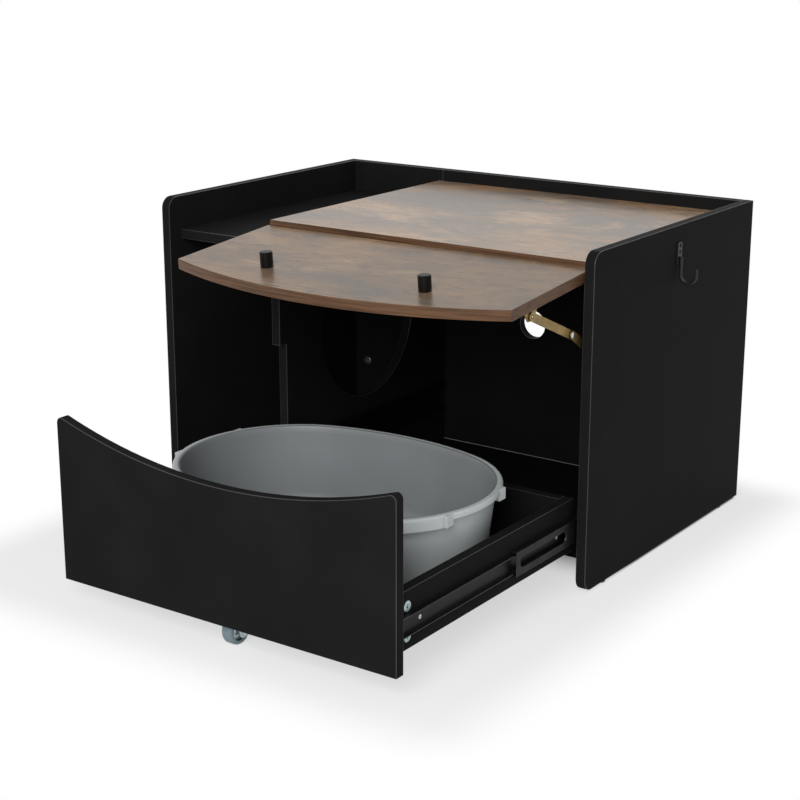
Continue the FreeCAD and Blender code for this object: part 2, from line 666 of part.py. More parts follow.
def turned(y, z, degrees):
    """A point turned about the door's hinge axis."""
    angle = math.radians(degrees)
    across, up = y - HINGE_Y, z - HINGE_Z
    return (HINGE_Y + across * math.cos(angle) - up * math.sin(angle),
            HINGE_Z + across * math.sin(angle) + up * math.cos(angle))


def elbow_of(wall, door, lower, upper):
    """The elbow above the line from the wall pivot to the door pivot."""
    reach = math.dist(wall, door)
    along = (lower ** 2 - upper ** 2 + reach ** 2) / (2 * reach)
    rise = math.sqrt(max(lower ** 2 - along ** 2, 0.0))
    run = ((door[0] - wall[0]) / reach, (door[1] - wall[1]) / reach)
    return (wall[0] + run[0] * along + run[1] * rise, wall[1] + run[1] * along - run[0] * rise)


STAY_WALL_PIVOT = (BOARD_FRONT_Y + STAY_PIVOT_SETBACK, TOP_UNDER_Z - STAY_PIVOT_DROP)
STAY_CLOSED_PIVOT = (DOOR_INNER_Y + STAY_DOOR_OFFSET, DOOR_END_Z - STAY_DOOR_PIVOT)
STAY_OPEN_PIVOT = turned(*STAY_CLOSED_PIVOT, -OPEN_ANGLE)
OPEN_SPAN = math.dist(STAY_WALL_PIVOT, STAY_OPEN_PIVOT) + STAY_STRAIGHT_SLACK
CLOSED_SPAN = math.dist(STAY_WALL_PIVOT, STAY_CLOSED_PIVOT) - STAY_FOLD_SLACK
LOWER_ARM_LENGTH = (OPEN_SPAN - CLOSED_SPAN) / 2
UPPER_ARM_LENGTH = (OPEN_SPAN + CLOSED_SPAN) / 2
STAY_ELBOW = elbow_of(STAY_WALL_PIVOT, STAY_OPEN_PIVOT, LOWER_ARM_LENGTH, UPPER_ARM_LENGTH)


def arm(x, start, end):
    """A flat arm with round ends, from one pivot to the other."""
    first, last = V(x, *start), V(x, *end)
    along = (last - first).normalize()
    side = along.cross(X_AXIS) * (STAY_ARM_WIDTH / 2)
    nose = along * (STAY_ARM_WIDTH / 2)
    edges = [Part.makeLine(first + side, last + side),
             Part.Arc(last + side, last + nose, last - side).toShape(),
             Part.makeLine(last - side, first - side),
             Part.Arc(first - side, first - nose, first + side).toShape()]
    return Part.Face(Part.Wire(edges)).extrude(X_AXIS * STAY_ARM)


def pivot_rod(x_range, place, radius):
    return prism(V(x_range[0], *place), X_AXIS, radius, x_range[1] - x_range[0], PIVOT_SIDES)


def stay_lower_arm():
    """The arm on the wall pivot, with its half of the elbow rivet on the wall side."""
    hole = pivot_rod((LOWER_ARM_INNER, LOWER_ARM_OUTER), STAY_WALL_PIVOT, STAY_HOLE_RADIUS)
    return arm(LOWER_ARM_INNER, STAY_WALL_PIVOT, STAY_ELBOW).cut(hole)


def stay_upper_arm():
    """The arm on the door pivot, with its half of the elbow rivet on the inner side."""
    hole = pivot_rod((UPPER_ARM_INNER, UPPER_ARM_OUTER), STAY_OPEN_PIVOT, STAY_HOLE_RADIUS)
    return arm(UPPER_ARM_INNER, STAY_ELBOW, STAY_OPEN_PIVOT).cut(hole)


def rivet_head(x, outward):
    """Half of the elbow rivet: a low dished head on one arm's outer face."""
    base = V(x, *STAY_ELBOW)
    return stack([ring(base + outward * along, outward, STAY_RIVET_HEAD_RADIUS * share, PIVOT_SIDES)
                  for along, share in ((0, 1), (STAY_RIVET_HEAD, 0.6))])


def stay_wall_bracket():
    """The plate on the side panel that the lower arm turns on."""
    y, z = STAY_WALL_PIVOT
    half = STAY_BRACKET_WIDTH / 2
    points = [V(STAY_WALL_FACE, y - half, z - half), V(STAY_WALL_FACE, y + STAY_BRACKET_LENGTH, z - half),
              V(STAY_WALL_FACE, y + STAY_BRACKET_LENGTH, z + half), V(STAY_WALL_FACE, y - half, z + half)]
    plate = outline(points, [half * 0.9] * 4).extrude(X_AXIS * STAY_PLATE)
    hole = pivot_rod((STAY_WALL_FACE, INNER_X), STAY_WALL_PIVOT, STAY_HOLE_RADIUS)
    return cut_all(plate.cut(hole), stay_wall_screws(SCREW_CLEARANCE))


def stay_wall_screws(extra=0.0):
    y, z = STAY_WALL_PIVOT
    return [screw(V(STAY_WALL_FACE, y + offset, z), X_AXIS, PLATE_SCREW_LENGTH, extra)
            for offset in (STAY_BRACKET_LENGTH * 0.4, STAY_BRACKET_LENGTH * 0.75)]


def stay_wall_pin():
    return pivot_rod((LOWER_ARM_INNER, INNER_X), STAY_WALL_PIVOT, STAY_PIN_RADIUS)


def stay_door_bracket():
    """The angle on the door's inner face: a screwed foot and an ear for the upper arm."""
    y, z = STAY_CLOSED_PIVOT
    half = STAY_BRACKET_LENGTH / 2
    foot_x = (STAY_EAR_OUTER - STAY_BRACKET_WIDTH, STAY_EAR_OUTER)
    foot = block(foot_x, (DOOR_INNER_Y, DOOR_INNER_Y + STAY_PLATE), (z - half, z + half))
    tip = y + STAY_PIN_RADIUS + STAY_EAR_MARGIN
    points = [V(STAY_EAR_INNER, DOOR_INNER_Y, z - half), V(STAY_EAR_INNER, tip, z - half * 0.45),
              V(STAY_EAR_INNER, tip, z + half * 0.45), V(STAY_EAR_INNER, DOOR_INNER_Y, z + half)]
    ear = outline(points, [0, STAY_EAR_ROUND, STAY_EAR_ROUND, 0]).extrude(X_AXIS * STAY_PLATE)
    hole = pivot_rod((STAY_EAR_INNER, STAY_EAR_OUTER), (y, z), STAY_HOLE_RADIUS)
    return cut_all(union([foot, ear]).cut(hole), stay_door_screws(SCREW_CLEARANCE))


def stay_door_screws(extra=0.0):
    z = STAY_CLOSED_PIVOT[1]
    x = STAY_EAR_INNER - STAY_BRACKET_WIDTH / 2
    places = [V(x, DOOR_INNER_Y + STAY_PLATE, z + side * STAY_BRACKET_LENGTH * 0.3) for side in (-1, 1)]
    return [screw(place, V(0, -1, 0), PLATE_SCREW_LENGTH, extra) for place in places]


def stay_door_pin():
    return pivot_rod((STAY_EAR_INNER, UPPER_ARM_OUTER), STAY_CLOSED_PIVOT, STAY_PIN_RADIUS)


# Drawer: closed places, moved out when saved

def drawer_front():
    """The drawer's front: a dip in its top edge, with small round corners."""
    y = DRAWER_FRONT_Y
    left, right = DOOR_LEFT_X, DOOR_RIGHT_X
    low, high, round_ = DRAWER_FRONT_BOTTOM, DRAWER_FRONT_TOP, DRAWER_CORNER_RADIUS
    slant = round_ * (1 - math.sqrt(0.5))
    middle = V(DOOR_MIDDLE_X, y, high - DRAWER_FRONT_SAG)
    right_corner = [V(right, y, high - round_), V(right - slant, y, high - slant), V(right - round_, y, high)]
    left_corner = [V(left + round_, y, high), V(left + slant, y, high - slant), V(left, y, high - round_)]
    edges = [Part.makeLine(V(left, y, low), V(right, y, low)),
             Part.makeLine(V(right, y, low), right_corner[0]),
             Part.Arc(*right_corner).toShape(),
             Part.Arc(right_corner[2], middle, left_corner[0]).toShape(),
             Part.Arc(*left_corner).toShape(),
             Part.makeLine(left_corner[2], V(left, y, low))]
    board = Part.Face(Part.Wire(edges)).extrude(Y_AXIS * BOARD)
    return cut_all(board, [bore for joint in drawer_cams() for bore in joint.bores] + [base_groove()])


def drawer_cams():
    """Two cam joints at the front of each drawer side, bored from its outer face."""
    joints = []
    for x, face in ((DRAWER_LEFT_X + BOARD / 2, V(-1, 0, 0)), (DRAWER_RIGHT_X - BOARD / 2, X_AXIS)):
        for z in (SLIDE_Z + DRAWER_UPPER_CAM, DRAWER_BASE_TOP_Z + CAM_DIAMETER / 2 + DRAWER_LOWER_CAM_GAP):
            joints.append(CamJoint(V(x, DRAWER_FRONT_REAR_Y, z), Y_AXIS, face))
    return joints


def base_groove():
    """The groove that the drawer's base sits in, all round."""
    x_range = (DRAWER_LEFT_X + BOARD - DRAWER_BASE_GROOVE, DRAWER_RIGHT_X - BOARD + DRAWER_BASE_GROOVE)
    y_range = (DRAWER_FRONT_REAR_Y - DRAWER_BASE_GROOVE, DRAWER_REAR_Y - BOARD + DRAWER_BASE_GROOVE)
    return block(x_range, y_range, (DRAWER_BASE_Z, DRAWER_BASE_TOP_Z + GROOVE_CLEARANCE))


def drawer_base():
    inset = DRAWER_BASE_GROOVE - 2 * GROOVE_CLEARANCE
    x_range = (DRAWER_LEFT_X + BOARD - inset, DRAWER_RIGHT_X - BOARD + inset)
    y_range = (DRAWER_FRONT_REAR_Y - inset, DRAWER_REAR_Y - BOARD + inset)
    return block(x_range, y_range, (DRAWER_BASE_Z, DRAWER_BASE_TOP_Z))


def drawer_side(x_range, hand):
    board = block(x_range, (DRAWER_FRONT_REAR_Y, DRAWER_REAR_Y), (DRAWER_SIDE_BOTTOM, DRAWER_SIDE_TOP))
    bores = [bore for joint in drawer_cams() for bore in joint.bores] + [base_groove()]
    bores += drawer_back_screws(SCREW_CLEARANCE) + drawer_member_screws(hand, SCREW_CLEARANCE)
    return cut_all(board, bores)


def drawer_back():
    x_range = (DRAWER_LEFT_X + BOARD, DRAWER_RIGHT_X - BOARD)
    board = block(x_range, (DRAWER_REAR_Y - BOARD, DRAWER_REAR_Y), (DRAWER_SIDE_BOTTOM, DRAWER_SIDE_TOP))
    return cut_all(board, [base_groove()] + drawer_back_screws(SCREW_CLEARANCE))


def drawer_back_screws(extra=0.0):
    """Two screws at each rear corner, through a side into the back's end."""
    screws = []
    for x, into in ((DRAWER_LEFT_X, X_AXIS), (DRAWER_RIGHT_X, V(-1, 0, 0))):
        for side in (-1, 1):
            middle_z = DRAWER_SIDE_BOTTOM + DRAWER_SIDE_HEIGHT / 2
            place = V(x, DRAWER_REAR_Y - BOARD / 2, middle_z + side * DRAWER_BACK_SCREW_SPACING / 2)
            screws.append(screw(place, into, BACK_SCREW_LENGTH, extra))
    return screws


# Ball slides: hand is 1 on the right wall and -1 on the divider

def slide_point(hand, reach, y, z):
    """A point at a reach from the cabinet wall that a slide hangs on."""
    wall = INNER_X if hand > 0 else DIVIDER_RIGHT_X
    return V(wall - hand * reach, y, SLIDE_Z + z)


def channel(hand, web, lips, height, y_range, lip):
    """A steel channel: a flat web, two flanges that reach to the lips, and each flange's turned edge."""
    half = height / 2
    toward = 1 if lips > web else -1
    steel = SLIDE_STEEL
    section = [(web, -half), (lips, -half), (lips, -half + lip), (lips - toward * steel, -half + lip),
               (lips - toward * steel, -half + steel), (web + toward * steel, -half + steel),
               (web + toward * steel, half - steel), (lips - toward * steel, half - steel),
               (lips - toward * steel, half - lip), (lips, half - lip), (lips, half), (web, half)]
    corners = [slide_point(hand, reach, y_range[0], z) for reach, z in section]
    return plane(corners).extrude(Y_AXIS * (y_range[1] - y_range[0]))


SLIDE_REAR_Y = DRAWER_REAR_Y - SLIDE_REAR_MARGIN
OUTER_RANGE = (DRAWER_FRONT_REAR_Y + SLIDE_FRONT_SETBACK, SLIDE_REAR_Y)
MIDDLE_RANGE = (DRAWER_FRONT_REAR_Y + SLIDE_MIDDLE_SETBACK, SLIDE_REAR_Y)
INNER_RANGE = (DRAWER_FRONT_REAR_Y + SLIDE_FRONT_SETBACK, SLIDE_REAR_Y)


def cabinet_member(hand):
    """The outer channel, screwed to the cabinet wall."""
    body = channel(hand, 0, SLIDE_OUTER_REACH, SLIDE_OUTER_HEIGHT, OUTER_RANGE, SLIDE_LIP)
    return cut_all(body, cabinet_member_screws(hand, SCREW_CLEARANCE))


def middle_member(hand):
    """The channel between the other two, with a long slot in its web near its front end."""
    body = channel(hand, SLIDE_MIDDLE_START, SLIDE_MIDDLE_REACH, SLIDE_MIDDLE_HEIGHT, MIDDLE_RANGE, SLIDE_LIP)
    half = SLIDE_SLOT_HEIGHT / 2
    front = MIDDLE_RANGE[0] + SLIDE_SLOT_MARGIN
    ends = [slide_point(hand, SLIDE_MIDDLE_START, front + along, up)
            for along, up in ((half, -half), (SLIDE_SLOT_LENGTH - half, -half),
                              (SLIDE_SLOT_LENGTH - half, half), (half, half))]
    edges = [Part.makeLine(ends[0], ends[1]),
             Part.Arc(ends[1], (ends[1] + ends[2]) / 2 + Y_AXIS * half, ends[2]).toShape(),
             Part.makeLine(ends[2], ends[3]),
             Part.Arc(ends[3], (ends[3] + ends[0]) / 2 - Y_AXIS * half, ends[0]).toShape()]
    return body.cut(Part.Face(Part.Wire(edges)).extrude(X_AXIS * (-hand * SLIDE_STEEL)))


def drawer_member(hand):
    """The inner channel, screwed to the drawer's side."""
    body = channel(hand, SLIDE_GAP, SLIDE_INNER_START, SLIDE_INNER_HEIGHT, INNER_RANGE, SLIDE_STEEL)
    return cut_all(body, drawer_member_screws(hand, SCREW_CLEARANCE))


def cabinet_member_screws(hand, extra=0.0):
    places = [OUTER_RANGE[0] + SLIDE_SCREW_MARGIN, OUTER_RANGE[1] - SLIDE_SCREW_MARGIN]
    return [screw(slide_point(hand, SLIDE_STEEL, y, 0), X_AXIS * hand, SLIDE_SCREW_LENGTH, extra)
            for y in places]


def drawer_member_screws(hand, extra=0.0):
    places = [INNER_RANGE[0] + SLIDE_SCREW_MARGIN, INNER_RANGE[1] - SLIDE_SCREW_MARGIN]
    head = SLIDE_GAP - SLIDE_STEEL
    return [screw(slide_point(hand, head, y, 0), X_AXIS * -hand, SLIDE_SCREW_LENGTH, extra)
            for y in places]


def ball_row(hand, reach_range, z_range, y_start):
    """A thin cage strip with its balls, between two races."""
    low, high = z_range
    radius = (high - low) / 2 - BALL_CLEARANCE
    middle_z = (low + high) / 2
    reach = (reach_range[0] + reach_range[1]) / 2
    wide = radius * 0.75
    corners = [slide_point(hand, reach + dr, y_start, middle_z + dz)
               for dr, dz in ((-wide, -CAGE_THICKNESS / 2), (wide, -CAGE_THICKNESS / 2),
                              (wide, CAGE_THICKNESS / 2), (-wide, CAGE_THICKNESS / 2))]
    strip = plane(corners).extrude(Y_AXIS * CAGE_LENGTH)
    pitch = (CAGE_LENGTH - 4 * radius) / (BALLS_PER_CAGE - 1)
    balls = []
    for i in range(BALLS_PER_CAGE):
        centre = slide_point(hand, reach, y_start + 2 * radius + i * pitch, middle_z)
        balls.append(ball(centre, radius))
    return strip.fuse(balls)


def ball(centre, radius):
    """A slide's ball, with flats."""
    return stack([ring(centre + Z_AXIS * (radius * level), Z_AXIS, radius * wide, BALL_SIDES)
                  for level, wide in ((-1, 0.35), (-0.5, 0.87), (0.5, 0.87), (1, 0.35))])


def ball_cages(hand):
    """Four ball rows: two run in the cabinet member, two in the middle member."""
    outer_z = (SLIDE_MIDDLE_HEIGHT / 2, SLIDE_OUTER_HEIGHT / 2 - SLIDE_STEEL)
    inner_z = (SLIDE_INNER_HEIGHT / 2, SLIDE_MIDDLE_HEIGHT / 2 - SLIDE_STEEL)
    outer_reach = (SLIDE_STEEL, SLIDE_OUTER_REACH - SLIDE_STEEL)
    inner_reach = (SLIDE_INNER_START, SLIDE_MIDDLE_REACH - SLIDE_STEEL)
    rear = MIDDLE_RANGE[1] - CAGE_END_MARGIN - CAGE_LENGTH
    front = MIDDLE_RANGE[0] + CAGE_END_MARGIN
    rows = []
    for side in (-1, 1):
        rows.append(ball_row(hand, outer_reach, sorted(side * z for z in outer_z), rear))
        rows.append(ball_row(hand, inner_reach, sorted(side * z for z in inner_z), front))
    return group(rows)


# Caster under the drawer's front

def caster_block():
    """The wood block between the drawer's base and the caster's plate."""
    x_range = (CASTER_X - CASTER_BLOCK_WIDTH / 2, CASTER_X + CASTER_BLOCK_WIDTH / 2)
    y_range = (DRAWER_FRONT_REAR_Y, DRAWER_FRONT_REAR_Y + CASTER_BLOCK_DEPTH)
    board = block(x_range, y_range, (CASTER_PLATE_TOP_Z, DRAWER_BASE_Z))
    return cut_all(board, caster_screws(SCREW_CLEARANCE))


def caster_bracket():
    """A bent steel fork: a top plate with screw flanges and two ears for the axle."""
    half = FORK_WIDTH / 2
    y_range = (CASTER_Y - CASTER_PLATE_DEPTH / 2, CASTER_Y + CASTER_PLATE_DEPTH / 2)
    wide = CASTER_BLOCK_WIDTH / 2 - CASTER_PLATE_INSET
    plate_z = (CASTER_PLATE_TOP_Z - FORK_STEEL, CASTER_PLATE_TOP_Z)
    plate = block((CASTER_X - wide, CASTER_X + wide), y_range, plate_z)
    ears = []
    for x in (CASTER_X - half, CASTER_X + half - FORK_STEEL):
        low = WHEEL_Z - FORK_EAR_RADIUS
        points = [V(x, CASTER_Y - FORK_EAR_RADIUS, low), V(x, CASTER_Y + FORK_EAR_RADIUS, low),
                  V(x, y_range[1], plate_z[0]), V(x, y_range[0], plate_z[0])]
        ears.append(outline(points, [FORK_EAR_RADIUS * 0.8] * 2 + [0, 0]).extrude(X_AXIS * FORK_STEEL))
    bore = axle_bar(FORK_WIDTH, AXLE_DIAMETER / 2 + SCREW_CLEARANCE)
    return cut_all(union([plate] + ears), [bore] + caster_screws(SCREW_CLEARANCE))


def caster_screws(extra=0.0):
    z = CASTER_PLATE_TOP_Z - FORK_STEEL
    reach = (FORK_WIDTH / 2 + CASTER_BLOCK_WIDTH / 2 - CASTER_PLATE_INSET) / 2
    places = [V(CASTER_X + side * reach, CASTER_Y + dy, z)
              for side in (-1, 1) for dy in (-CASTER_PLATE_DEPTH * 0.28, CASTER_PLATE_DEPTH * 0.28)]
    return [screw(place, Z_AXIS, PLATE_SCREW_LENGTH, extra) for place in places]


def axle_bar(width, radius):
    """A bar about the axle's line, centred on the caster."""
    return prism(V(CASTER_X - width / 2, CASTER_Y, WHEEL_Z), X_AXIS, radius, width, PIVOT_SIDES)


def caster_axle():
    """The axle, with a head outside each ear of the fork."""
    shaft = axle_bar(FORK_WIDTH, AXLE_DIAMETER / 2)
    both_heads = axle_bar(FORK_WIDTH + 2 * AXLE_HEAD, AXLE_HEAD_DIAMETER / 2)
    return union([shaft, both_heads.cut(axle_bar(FORK_WIDTH, AXLE_HEAD_DIAMETER))])


def caster_wheel():
    """The tread, a recessed web and a hub, bored for the axle."""
    across = (CASTER_X - WHEEL_WIDTH / 2, CASTER_X + WHEEL_WIDTH / 2)
    tread = rod(V(across[0], CASTER_Y, WHEEL_Z), X_AXIS, WHEEL_DIAMETER / 2, WHEEL_WIDTH)
    recess_radius = WHEEL_DIAMETER / 2 - WHEEL_TREAD
    recesses = axle_bar(WHEEL_WIDTH, recess_radius).cut(axle_bar(WHEEL_WEB, recess_radius + WHEEL_TREAD))
    hub = axle_bar(WHEEL_HUB_WIDTH, WHEEL_HUB_DIAMETER / 2)
    bore = axle_bar(WHEEL_HUB_WIDTH, AXLE_DIAMETER / 2 + AXLE_CLEARANCE)
    return union([tread.cut(recesses), hub]).cut(bore)


# Litter pan

def arc_corners(centre, radius, start, end):
    """Corners along an arc, from its start angle up to but not at its end."""
    step = (end - start) / PAN_ARC_CORNERS
    angles = [start + step * i for i in range(PAN_ARC_CORNERS)]
    return [centre + V(radius * math.cos(a), radius * math.sin(a), 0) for a in angles]


def oval(inset, z):
    """Corners of a four-arc oval, drawn in from the rim's outline by an inset."""
    end = PAN_END_RADIUS - inset
    run = PAN_HALF_LENGTH - inset - end
    bow = PAN_HALF_WIDTH - inset - end
    drop = (run ** 2 - bow ** 2) / (2 * bow)
    side = PAN_HALF_WIDTH - inset + drop
    turn = math.atan2(drop, run)
    middle = V(DRAWER_MIDDLE_X, PAN_Y, z)
    half_turn = math.pi
    corners = arc_corners(middle + X_AXIS * run, end, -turn, turn)
    corners += arc_corners(middle - Y_AXIS * drop, side, turn, half_turn - turn)
    corners += arc_corners(middle - X_AXIS * run, end, half_turn - turn, half_turn + turn)
    corners += arc_corners(middle + Y_AXIS * drop, side, half_turn + turn, 2 * half_turn - turn)
    return corners


def tapered(sections):
    """A solid through ovals of given inset and height."""
    return stack([oval(inset, z) for inset, z in sections])


def pan_sections(inset, low):
    """The pan's body: a sloping foot and a wall that leans out to the rim."""
    foot = PAN_RIM + PAN_TAPER + inset
    return [(foot + PAN_FOOT, low), (foot, low + PAN_FOOT), (PAN_RIM + inset, PAN_RIM_Z)]


def rim_ring(outer, inner, low, high):
    """A ring that follows the rim, between two insets and two heights."""
    return tapered([(outer, low), (outer, high)]).cut(tapered([(inner, low), (inner, high)]))


def litter_pan():
    """A thin tray with a turned-down rim, whose skirt is cut short between the clip tabs of each end."""
    body = tapered(pan_sections(0, PAN_BOTTOM_Z))
    hollow = tapered(pan_sections(PAN_WALL, PAN_BOTTOM_Z + PAN_WALL))
    rim_top = tapered([(0, PAN_RIM_Z - PAN_WALL), (0, PAN_RIM_Z)])
    skirt = rim_ring(0, PAN_WALL, PAN_RIM_Z - PAN_SKIRT, PAN_RIM_Z)
    pan = body.fuse([rim_top, skirt]).cut(hollow)
    for side in (-1, 1):
        half = PAN_TAB_OFFSET - PAN_TAB_WIDTH / 2
        short = skirt.common(pan_end(side, PAN_Y, half, PAN_RIM_Z - PAN_SHORT_SKIRT))
        pan = pan.cut(short).fuse(pan_tabs(side))
    return pan.removeSplitter()


def pan_end(side, y, half_width, high):
    """A block about one end of the rim, from the skirt's foot up."""
    reach = PAN_HALF_LENGTH + 2 * PAN_TAB_PROUD
    x_range = sorted((DRAWER_MIDDLE_X + side * reach * 0.6, DRAWER_MIDDLE_X + side * reach))
    return block(x_range, (y - half_width, y + half_width), (PAN_RIM_Z - PAN_SKIRT, high))


def pan_tabs(side):
    """The two clip tabs of one end, as slices of a slightly larger rim."""
    ring = rim_ring(-PAN_TAB_PROUD, PAN_WALL / 2, PAN_RIM_Z - PAN_SKIRT, PAN_RIM_Z)
    return [ring.common(pan_end(side, PAN_Y + offset, PAN_TAB_WIDTH / 2, PAN_RIM_Z - PAN_WALL))
            for offset in (-PAN_TAB_OFFSET, PAN_TAB_OFFSET)]


# Scoop hook

def scoop_hook():
    """A screwed plate with a rod bent into a J that points outward."""
    half = HOOK_PLATE_WIDTH / 2
    x = WIDTH / 2
    low = HOOK_TOP_Z - HOOK_PLATE_HEIGHT
    points = [V(x, HOOK_Y - half, low), V(x, HOOK_Y + half, low), V(x, HOOK_Y + half, HOOK_TOP_Z),
              V(x, HOOK_Y - half, HOOK_TOP_Z)]
    plate = outline(points, [half * 0.5] * 4).extrude(X_AXIS * HOOK_PLATE)
    shank_top = V(HOOK_ROD_X, HOOK_Y, HOOK_TOP_Z - HOOK_SHANK_DROP)
    bend_middle = shank_top + V(HOOK_BEND_RADIUS, 0, -HOOK_SHANK_LENGTH)
    rings = [rod_ring(shank_top, 0)]
    for i in range(HOOK_BEND_STEPS + 1):
        turn = math.pi * i / HOOK_BEND_STEPS
        outward = V(-math.cos(turn), 0, -math.sin(turn))
        rings.append(rod_ring(bend_middle + outward * HOOK_BEND_RADIUS, turn))
    rings.append(rod_ring(bend_middle + V(HOOK_BEND_RADIUS, 0, HOOK_TIP), math.pi))
    return cut_all(union([plate, stack(rings)]), hook_screws(SCREW_CLEARANCE))


def rod_ring(centre, turn):
    """The hook rod's section, where the rod has turned by an angle from straight down."""
    outward = V(-math.cos(turn), 0, -math.sin(turn))
    return flat_corners(centre, Y_AXIS, outward, HOOK_ROD_RADIUS, FASTENER_SIDES)


def hook_screws(extra=0.0):
    """The two screws above the hook's rod, one over the other."""
    places = [V(WIDTH / 2 + HOOK_PLATE, HOOK_Y, HOOK_TOP_Z - HOOK_SHANK_DROP * share)
              for share in (0.24, 0.68)]
    return [screw(place, V(-1, 0, 0), PLATE_SCREW_LENGTH, extra) for place in places]


def carcass_nodes():
    """The nodes of the fixed cabinet."""
    cam_joints = [joint for joints in CAMS.values() for joint in joints]
    return {
        "left_side_panel": left_side_panel(),
        "right_side_panel": right_side_panel(),
        "back_board_left": back_board_left(),
        "back_board_right": back_board_right(),
        "divider_panel": divider_panel(),
        "top_board": top_board(),
        "entry_roof_board": entry_board(ENTRY_ROOF_Z, "roof"),
        "entry_floor_board": entry_board(ENTRY_FLOOR_Z, "floor"),
        "front_rail": front_rail(),
        "floor_glides": floor_glides(),
        "carcass_cam_discs": group([joint.disc for joint in cam_joints]),
        "carcass_cam_bolts": group([joint.bolt for joint in cam_joints]),
        "top_dowels": group([dowel(place) for place in dowels_in_top()]),
        "back_board_screws": group(back_screws()),
        "scoop_hook": scoop_hook(),
        "scoop_hook_screws": group(hook_screws()),
        "slide_cabinet_member_left": cabinet_member(-1),
        "slide_cabinet_member_right": cabinet_member(1),
        "slide_cabinet_screws": group(cabinet_member_screws(-1) + cabinet_member_screws(1)),
        "hinge_top_leaf_left": hinge_top_leaf(HINGE_LEFT_X),
        "hinge_top_leaf_right": hinge_top_leaf(HINGE_RIGHT_X),
        "hinge_pins": group([hinge_pin(HINGE_LEFT_X), hinge_pin(HINGE_RIGHT_X)]),
        "hinge_top_screws": group(top_leaf_screws()),
        "stay_wall_bracket": stay_wall_bracket(),
        "stay_wall_pin": stay_wall_pin(),
        "stay_wall_screws": group(stay_wall_screws()),
    }


def door_nodes():
    """The nodes that turn with the door, and the stay's two arms."""
    closed = {
        "flip_door": flip_door(),
        "door_knobs": group([knob(x) for x in knob_places()]),
        "knob_screws": group([knob_screw(x) for x in knob_places()]),
        "hinge_door_leaf_left": hinge_door_leaf(HINGE_LEFT_X),
        "hinge_door_leaf_right": hinge_door_leaf(HINGE_RIGHT_X),
        "hinge_door_screws": group(door_leaf_screws()),
        "stay_door_bracket": stay_door_bracket(),
        "stay_door_pin": stay_door_pin(),
        "stay_door_screws": group(stay_door_screws()),
    }
    nodes = {name: flipped_open(shape) for name, shape in closed.items()}
    nodes["stay_lower_arm"] = stay_lower_arm()
    nodes["stay_upper_arm"] = stay_upper_arm()
    nodes["stay_elbow_rivet_outer"] = rivet_head(LOWER_ARM_OUTER, X_AXIS)
    nodes["stay_elbow_rivet_inner"] = rivet_head(UPPER_ARM_INNER, V(-1, 0, 0))
    return nodes


def drawer_nodes():
    """The nodes that slide out with the drawer, and those that follow it."""
    closed = {
        "drawer_front": drawer_front(),
        "drawer_side_left": drawer_side((DRAWER_LEFT_X, DRAWER_LEFT_X + BOARD), -1),
        "drawer_side_right": drawer_side((DRAWER_RIGHT_X - BOARD, DRAWER_RIGHT_X), 1),
        "drawer_back": drawer_back(),
        "drawer_base": drawer_base(),
        "drawer_cam_discs": group([joint.disc for joint in drawer_cams()]),
        "drawer_cam_bolts": group([joint.bolt for joint in drawer_cams()]),
        "drawer_back_screws": group(drawer_back_screws()),
        "slide_drawer_member_left": drawer_member(-1),
        "slide_drawer_member_right": drawer_member(1),
        "slide_drawer_screws": group(drawer_member_screws(-1) + drawer_member_screws(1)),
        "caster_block": caster_block(),
        "caster_bracket": caster_bracket(),
        "caster_screws": group(caster_screws()),
        "caster_axle": caster_axle(),
        "caster_wheel": caster_wheel(),
        "litter_pan": litter_pan(),
    }
    nodes = {name: pulled_out(shape) for name, shape in closed.items()}
    for side, hand in (("left", -1), ("right", 1)):
        nodes["slide_middle_member_" + side] = pulled_out(middle_member(hand), 0.5)
        nodes["slide_ball_cages_" + side] = pulled_out(ball_cages(hand), 0.5)
    return nodes


def save(nodes):
    """Each node moved to the object's own origin and saved under its name."""
    os.makedirs("parts", exist_ok=True)
    for name, shape in nodes.items():
        moved = shape.copy()
        moved.translate(ORIGIN * -1)
        moved.exportStep("parts/" + name + ".step")


if __name__ == "__main__":
    save({**carcass_nodes(), **door_nodes(), **drawer_nodes()})
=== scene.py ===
"""The looks of a cat litter box cabinet: a black board carcass with a side entry, a flip-up wood-look door
on a folding stay, and a drawer on ball slides that carries a lift-out litter pan. Metres; X right, Y back,
Z up.

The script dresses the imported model. Boards and pressed metal are merged copies of the CAD nodes with their
edges broken. Turned, bent and moulded pieces are modelled anew on the places of the nodes they stand for.
"""

import json
import math

import bmesh
import bpy
from bpy.props import FloatProperty, FloatVectorProperty, IntProperty, PointerProperty
from mathutils import Matrix, Vector


